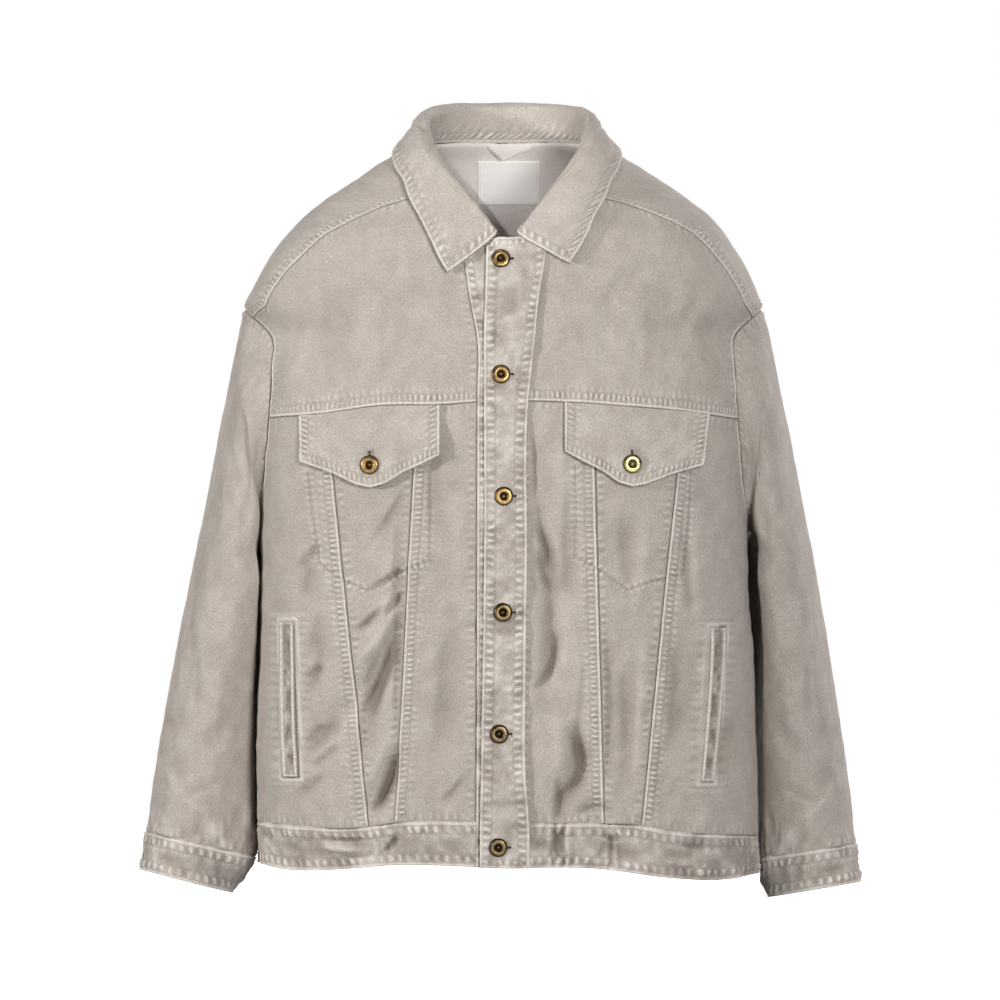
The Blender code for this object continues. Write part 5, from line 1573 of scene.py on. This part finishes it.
def on_collar(base, grid, u, v):
    """Shallow waves of the collar, darker in their dips as painted shade, and a painted shadow line inside its fold
    at the wearer's right.
    """
    x, z = base[..., 0], base[..., 2]
    soft = waves(u, v, "collar") * ease(grid[1], 0.04, 0.16)
    fold = np.take_along_axis(grid[1], z.argmax(axis=1)[:, None], axis=1)
    # Painted shadow: a dark band just inside the fold, where the wearer's right leaf shades the neck.
    inside = hump(grid[1] - fold + 0.10, 0.06) * ease(-x, 0.005, 0.030) * ease(-base[..., 1], -0.02, 0.03)
    return soft, 0 * soft, soft / CREASE_SHADE_AND_WEAR - 1.0 * inside


def crinkled(seed, height, size, rubbed_and_shaded=1.0):
    """A relief of small soft crinkles, for bands and other stitched strips, darker in their dips as painted shade
    and lighter on their crests.
    """

    def more(base, grid, u, v):
        soft = noise(u / size, v / size, seed) * height
        fine = noise(u / size * 2.3, v / size * 2.3, seed + 1) * height * 0.5
        # Painted shade: the colour follows the crinkles, darker in their dips and lighter on their crests.
        return soft, fine, rubbed_and_shaded * (soft + fine) / (height * 3)

    return more


# ------------------------------------------------------------------ the pieces
def body_pieces():
    wall = LOOP["wall"] / 2
    loop = sheet_wall("hanger_loop", loop_surface, edges={}, skins=(wall, -wall), fine=(0.0008, 0.0008),
                      coarse=(0.0008, 0.0008), inner=2, looks=("tape", "tape"))
    for side, sign in (("left", 1), ("right", -1)):
        sheet_wall(f"front_yoke_{side}", on_body(front_yoke(side, sign)), more=on_panel,
                   coarse=(0.0016, 0.0024), edges={"low": "over", "end": "clean", "start": "under", "top": "under"})
        edge_x = LEFT_FRONT_X if side == "left" else RIGHT_FRONT_X
        edge = front_edge_points(side, table_z(edge_x, WAIST), table_z(edge_x, CHEST))
        inner, outer = princess_points(side, "inner"), princess_points(side, "outer")
        sheet_wall(f"front_centre_{side}", on_body(front_panel(side, edge, inner)), more=on_panel,
                   edges={"low": "under", "top": "under", "start": "under", "end": "over"})
        sheet_wall(f"front_middle_{side}", on_body(front_panel(side, inner, outer)), more=on_panel,
                   edges={"low": "under", "top": "under", "start": "under", "end": "under"})
        sheet_wall(f"front_side_{side}", on_body(front_side(side, sign)), more=on_panel,
                   edges={"low": "under", "top": "under", "start": "over", "end": "clean"})
        sheet_wall(f"back_side_{side}", on_body(back_side(sign)), more=on_panel,
                   fine=(0.0014, 0.0019), coarse=(0.0034, 0.0019),
                   edges={"low": "under", "top": "under", "start": "over", "end": "under"})
    sheet_wall("back_centre", on_body(back_centre()), more=on_panel,
               fine=(0.0014, 0.0019), coarse=(0.0034, 0.0019),
               edges={"low": "under", "top": "under", "start": "over", "end": "over"})
    sheet_wall("back_yoke", on_body(yoke()), more=on_panel, fine=(0.0013, 0.0016), coarse=(0.0017, 0.0034),
               edges={"low": "over", "start": "over", "end": "over", "top": "under"},
               lip=NECK_LAP)


def sleeve_pieces():
    for side, sign in (("left", 1), ("right", -1)):
        sheet_wall(f"sleeve_{side}", sleeve_surface(sign, 0.0, CUFF_SHARE - 0.0006), more=on_sleeve(sign),
                   closed=True, fine=(0.0024, 0.0018), coarse=(0.0024, 0.0026),
                   edges={"low": "under", "top": "under"})
        sheet_wall(f"cuff_{side}", sleeve_surface(sign, CUFF_SHARE, 1.0), more=on_cuff(sign),
                   closed=True, fine=(0.0014, 0.0011), coarse=(0.0014, 0.0016), inner=2,
                   edges={"low": "band", "top": "band"}, skins=(0.0004, 0.0004 - BAND), lip=LIP)


def small_pieces():
    sheet_wall("waistband", on_body(waistband()), more=on_waistband, inner=2, fine=(0.0016, 0.0011),
               coarse=(0.0016, 0.0016), edges={"low": "band", "top": "band"},
               skins=(0.0006, 0.0006 - BAND), lip=LIP, ends=True)
    sheet_wall("placket_under", on_body(placket(UNDER_PLACKET)), more=crinkled(83, 0.0010, 0.012, 2.2),
               skins=(0.0, -BAND), fine=(0.0012, 0.0016), coarse=(0.0020, 0.0016), inner=2,
               edges={"start": "strap", "end": "strap"})
    sheet_wall("placket_over", on_body(placket(OVER_PLACKET)), more=crinkled(84, 0.0010, 0.012, 2.2),
               skins=(LIFT + BAND, LIFT), fine=(0.0010, 0.0013), coarse=(0.0018, 0.0013), inner=2,
               edges={"start": "strap", "end": "strap", "top": "narrow", "low": "narrow"})
    half = COLLAR_WALL / 2
    sheet_wall("collar", thickened(collar_middle), more=on_collar, skins=(half, -half),
               fine=(0.0013, 0.0012), coarse=(0.0018, 0.0020), inner=2,
               edges={"low": "leaf", "top": "leaf", "start": "leaf", "end": "leaf"}, lap=NECK_LAP)
    for side, sign in (("left", 1), ("right", -1)):
        sheet_wall(f"flap_{side}", on_body(flap_patch(side, sign), flap_lift), more=on_flap(side),
                   skins=(BAND, 0.0), fine=(0.0011, 0.0011), coarse=(0.0020, 0.0016), inner=2,
                   edges={"low": "over", "start": "over", "end": "over"})
        sheet_wall(f"welt_{side}", on_body(welt_patch(side)), more=on_welt, inner=2,
                   skins=(WELT_LIFT + CLOTH, WELT_LIFT), fine=(0.0008, 0.0012), coarse=(0.0008, 0.0012),
                   edges={"start": "clean", "end": "clean", "low": "turned", "top": "turned"})
    sheet_wall("label", label_surface, edges={"start": "turned", "end": "turned"},
               skins=(-LABEL["wall"], 0.0), fine=(0.0011, 0.0011), coarse=(0.0011, 0.0011), inner=2,
               looks=("label", "label"))


FINE_BUTTON = (
    # share of the radius, height in mm, wear
    (0.00, 0.00, -0.6), (0.90, 0.00, -0.6), (0.97, 0.30, -0.6), (1.00, 0.75, -0.5), (0.98, 1.20, -0.35),
    (0.93, 1.60, -0.10), (0.86, 1.95, 0.15), (0.78, 2.20, 0.35), (0.68, 2.38, 0.45), (0.58, 2.42, 0.45),
    (0.50, 2.30, 0.35), (0.44, 2.05, 0.10), (0.39, 1.70, -0.30), (0.36, 1.25, -0.70), (0.32, 0.85, -1.0),
    (0.20, 0.75, -1.0), (0.13, 0.80, -0.60), (0.11, 1.15, 0.10), (0.07, 1.35, 0.40), (0.00, 1.38, 0.40),
)
BUTTON_LOOKS = {
    "button_front_4": "dark_brass", "button_front_5": "dark_brass", "button_front_6": "dark_brass",
    "button_flap_left": "pale_brass",
}


def lowest_near(grid, reach):
    """The lowest value of a grid within that many steps of each point."""
    padded = np.pad(grid, reach, mode="edge")
    steps = range(2 * reach + 1)
    return np.min([padded[i:i + grid.shape[0], j:j + grid.shape[1]] for i in steps for j in steps], axis=0)


def button_piece(name, x, z):
    """A ring button: a rolled rim, a ring of fine ribs and a hole with its rivet."""
    lift = LIFT + BAND + BUTTON_SHANK
    if "flap" in name:
        lift += (FLAP_LOW_LIFT - LIFT) * 0.9 + FLAP_BUTTON_RISE
    angle = angle_at_x(x, z)
    centre = body(angle, z, lift)
    facing = unit(normal_of(bare_body, angle, z))
    side = unit(np.cross([0, 0, 1.0], facing))
    up = np.cross(facing, side)
    steps = 72
    turn = np.linspace(0, 2 * math.pi, steps, endpoint=False)
    spoke = np.outer(np.cos(turn), side) + np.outer(np.sin(turn), up)
    points, wear_and_shade = [], []
    for share, height, rubbed_and_shaded in FINE_BUTTON[1:-1]:
        ribs = 0.08 * np.cos(18 * turn) * hump(share - 0.62, 0.16)
        points.append(centre + np.outer((height + ribs) / 1000, facing) + spoke * share * BUTTON_RADIUS)
        wear_and_shade.append(rubbed_and_shaded + ribs * 4)
    count = len(points)
    ends = [centre, centre + facing * FINE_BUTTON[-1][1] / 1000]
    points = np.concatenate(points + [np.array(ends)])
    faces = []
    for i in range(steps):
        j = (i + 1) % steps
        for k in range(count - 1):
            faces.append((k * steps + i, k * steps + j, (k + 1) * steps + j, (k + 1) * steps + i))
        faces.append((count * steps, j, i))
        faces.append((count * steps + 1, (count - 1) * steps + i, (count - 1) * steps + j))
    made = make_mesh(f"{name}_ring", points, faces, [LOOKS[BUTTON_LOOKS.get(name, "brass")]],
                     floats={"wear_and_shade": np.concatenate(wear_and_shade + [np.array([-0.5, 0.1])])})
    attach(made, "root")
    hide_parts(name)


HOLE = {
    # half length, half width and thread's radius; how far the hole's middle lies from the button's
    "half_length": 0.0085, "half_width": 0.0013, "thread": 0.00075,
    "front": (0.0042, 0.0), "flap": (0.0, 0.0048),
}


def buttonhole(name, x, z):
    """A slit with a rim of close stitches, beside a placket's button or above a flap's; the slit is a flat
    near-black sheet that stands for the shade inside the opening.
    """
    flap = "flap" in name
    aside, above = HOLE["flap" if flap else "front"]
    lift = LIFT + BAND + ((FLAP_LOW_LIFT - LIFT) * 0.8 + FLAP_BUTTON_RISE * 0.9) * flap
    steps, ring = 96, 6
    turn = np.linspace(0, 2 * math.pi, steps, endpoint=False)
    long, short = np.cos(turn), np.sin(turn)
    straight = (HOLE["half_length"] - HOLE["half_width"]) * np.clip(long * 1.6, -1, 1)
    along = straight + HOLE["half_width"] * long
    across = HOLE["half_width"] * np.sign(short) * np.abs(short) ** 0.6
    if flap:
        along, across = across, along
    around = np.linspace(0, 2 * math.pi, ring, endpoint=False)
    thick = HOLE["thread"] * (0.8 + 0.35 * (np.arange(steps) % 2))
    outward = np.stack([along, across], axis=-1)
    outward = outward / np.linalg.norm(outward, axis=-1, keepdims=True)
    px = x + aside + along[:, None] + outward[:, :1] * thick[:, None] * np.cos(around)
    pz = z + above + across[:, None] + outward[:, 1:] * thick[:, None] * np.cos(around)
    rim = body(angle_at_x(px, pz), pz, lift + 0.0004 + thick[:, None] * np.sin(around))
    number = np.arange(steps * ring).reshape(steps, ring)
    after, beside = np.roll(number, -1, axis=0), np.roll(number, -1, axis=1)
    faces = np.stack([number, after, np.roll(after, -1, axis=1), beside], axis=-1).reshape(-1, 4).tolist()
    # The opening is a flat sheet with the near-black painted shade finish.
    flat_x, flat_z = x + aside + along * 0.9, z + above + across * 0.9
    shadow_slit = body(angle_at_x(flat_x, flat_z), flat_z, lift + 0.00045)
    first = steps * ring
    shadow_slit_faces = [(first + k, first + k + 1, first + steps - 2 - k, first + steps - 1 - k)
                  for k in range(steps // 2 - 1)]
    made = make_mesh(f"{name}_hole", np.concatenate([rim.reshape(-1, 3), shadow_slit]), faces + shadow_slit_faces,
                     [LOOKS["thread"], LOOKS["shadow_slit"]], [0] * len(faces) + [1] * len(shadow_slit_faces))
    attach(made, "root")


# ------------------------------------------------------------------ camera, light and floor
CAMERA_AWAY = 25.0
VIEW_WIDTH = 0.900
VIEW_MIDDLE = (-0.0018, -0.3150)
FLOOR_Z = -0.681
FLOOR_RADIUS = 6.0
FLOOR_GLOW = 0.86
WORLD_LOW, WORLD_HIGH = 0.08, 0.26


def add_camera():
    data = bpy.data.cameras.new("camera")
    data.sensor_width = 36.0
    data.lens = data.sensor_width * CAMERA_AWAY / VIEW_WIDTH
    data.clip_end = 100.0
    camera = bpy.data.objects.new("camera", data)
    camera.location = (VIEW_MIDDLE[0], -CAMERA_AWAY - 0.05, VIEW_MIDDLE[1])
    camera.rotation_euler = (math.radians(90), 0, 0)
    bpy.context.scene.collection.objects.link(camera)
    bpy.context.scene.camera = camera


def aim(name, data, place, target):
    light = bpy.data.objects.new(name, data)
    light.location = place
    towards = np.array(target) - np.array(place)
    flat = math.hypot(towards[0], towards[1])
    turn = math.atan2(towards[1], towards[0]) - math.pi / 2
    light.rotation_euler = (math.atan2(flat, -towards[2]), 0, turn)
    bpy.context.scene.collection.objects.link(light)


def add_light(name, place, size, energy, colour):
    data = bpy.data.lights.new(name, "AREA")
    data.size = size
    data.energy = energy
    data.color = colour
    aim(name, data, place, (0.0, 0.0, -0.33))


def add_spot(name, place, target, degrees, energy):
    """A narrow soft-edged beam."""
    data = bpy.data.lights.new(name, "SPOT")
    data.spot_size = math.radians(degrees)
    data.spot_blend = 1.0
    data.shadow_soft_size = 0.05
    data.energy = energy
    aim(name, data, place, target)


def add_world():
    """White behind everything, and a soft light that is weaker from below."""
    world = bpy.data.worlds.new("studio")
    bpy.context.scene.world = world
    world.use_nodes = True
    nodes, links = world.node_tree.nodes, world.node_tree.links
    place = nodes.new("ShaderNodeTexCoord")
    parts = nodes.new("ShaderNodeSeparateXYZ")
    height = nodes.new("ShaderNodeMapRange")
    height.inputs["From Min"].default_value = -0.6
    height.inputs["From Max"].default_value = 0.8
    height.inputs["To Min"].default_value = WORLD_LOW
    height.inputs["To Max"].default_value = WORLD_HIGH
    soft, backdrop = nodes.new("ShaderNodeBackground"), nodes["Background"]
    soft.inputs["Color"].default_value = (1.0, 0.995, 0.985, 1.0)
    backdrop.inputs["Color"].default_value = (1.0, 1.0, 1.0, 1.0)
    seen, mixed = nodes.new("ShaderNodeLightPath"), nodes.new("ShaderNodeMixShader")
    links.new(place.outputs["Generated"], parts.inputs[0])
    links.new(parts.outputs["Z"], height.inputs["Value"])
    links.new(height.outputs[0], soft.inputs["Strength"])
    links.new(seen.outputs["Is Camera Ray"], mixed.inputs["Fac"])
    links.new(soft.outputs[0], mixed.inputs[1])
    links.new(backdrop.outputs[0], mixed.inputs[2])
    links.new(mixed.outputs[0], nodes["World Output"].inputs["Surface"])


def add_floor():
    bpy.ops.mesh.primitive_circle_add(vertices=96, radius=FLOOR_RADIUS, fill_type="NGON",
                                      location=(0, 0, FLOOR_Z))
    floor = bpy.context.object
    floor.name = "floor"
    floor.visible_diffuse = False
    look = Look("floor_paint")
    place = look.add("ShaderNodeTexCoord").outputs["Object"]
    shade = look.ramp(look.noise(place, (3, 3, 3), 2), ((0.3, (0.60,) * 3), (0.7, (0.62,) * 3)))
    look.set(Base_Color=shade, Roughness=0.9, Specular_IOR_Level=0.1, Emission_Color=(1.0, 1.0, 1.0, 1.0),
             Emission_Strength=FLOOR_GLOW)
    floor.data.materials.append(look.material)


def add_surroundings():
    bpy.context.scene.view_settings.view_transform = "Standard"
    add_world()
    add_floor()
    add_light("key", (-3.6, -2.2, 0.35), 0.45, 95.0, (1.0, 0.99, 0.975))
    add_light("front", (1.4, -4.0, 0.3), 1.0, 106.0, (1.0, 0.995, 0.99))
    add_light("top", (-0.4, -1.0, 2.7), 1.0, 12.0, (1.0, 1.0, 1.0))
    add_spot("neck", (-0.30, -4.0, 0.10), (0.020, 0.060, -0.020), 2.3, 330.0)
    add_light("back_left", (2.8, 3.1, 0.9), 0.7, 105.0, (1.0, 0.99, 0.975))
    add_light("back_right", (-1.2, 3.9, 0.5), 1.2, 62.0, (1.0, 1.0, 1.0))


add_camera()
add_surroundings()
body_pieces()
sleeve_pieces()
small_pieces()
for name, place in BUTTONS.items():
    x, z = np.array(place) / 1000
    button_piece(name, x, z)
    buttonhole(name, x, z)
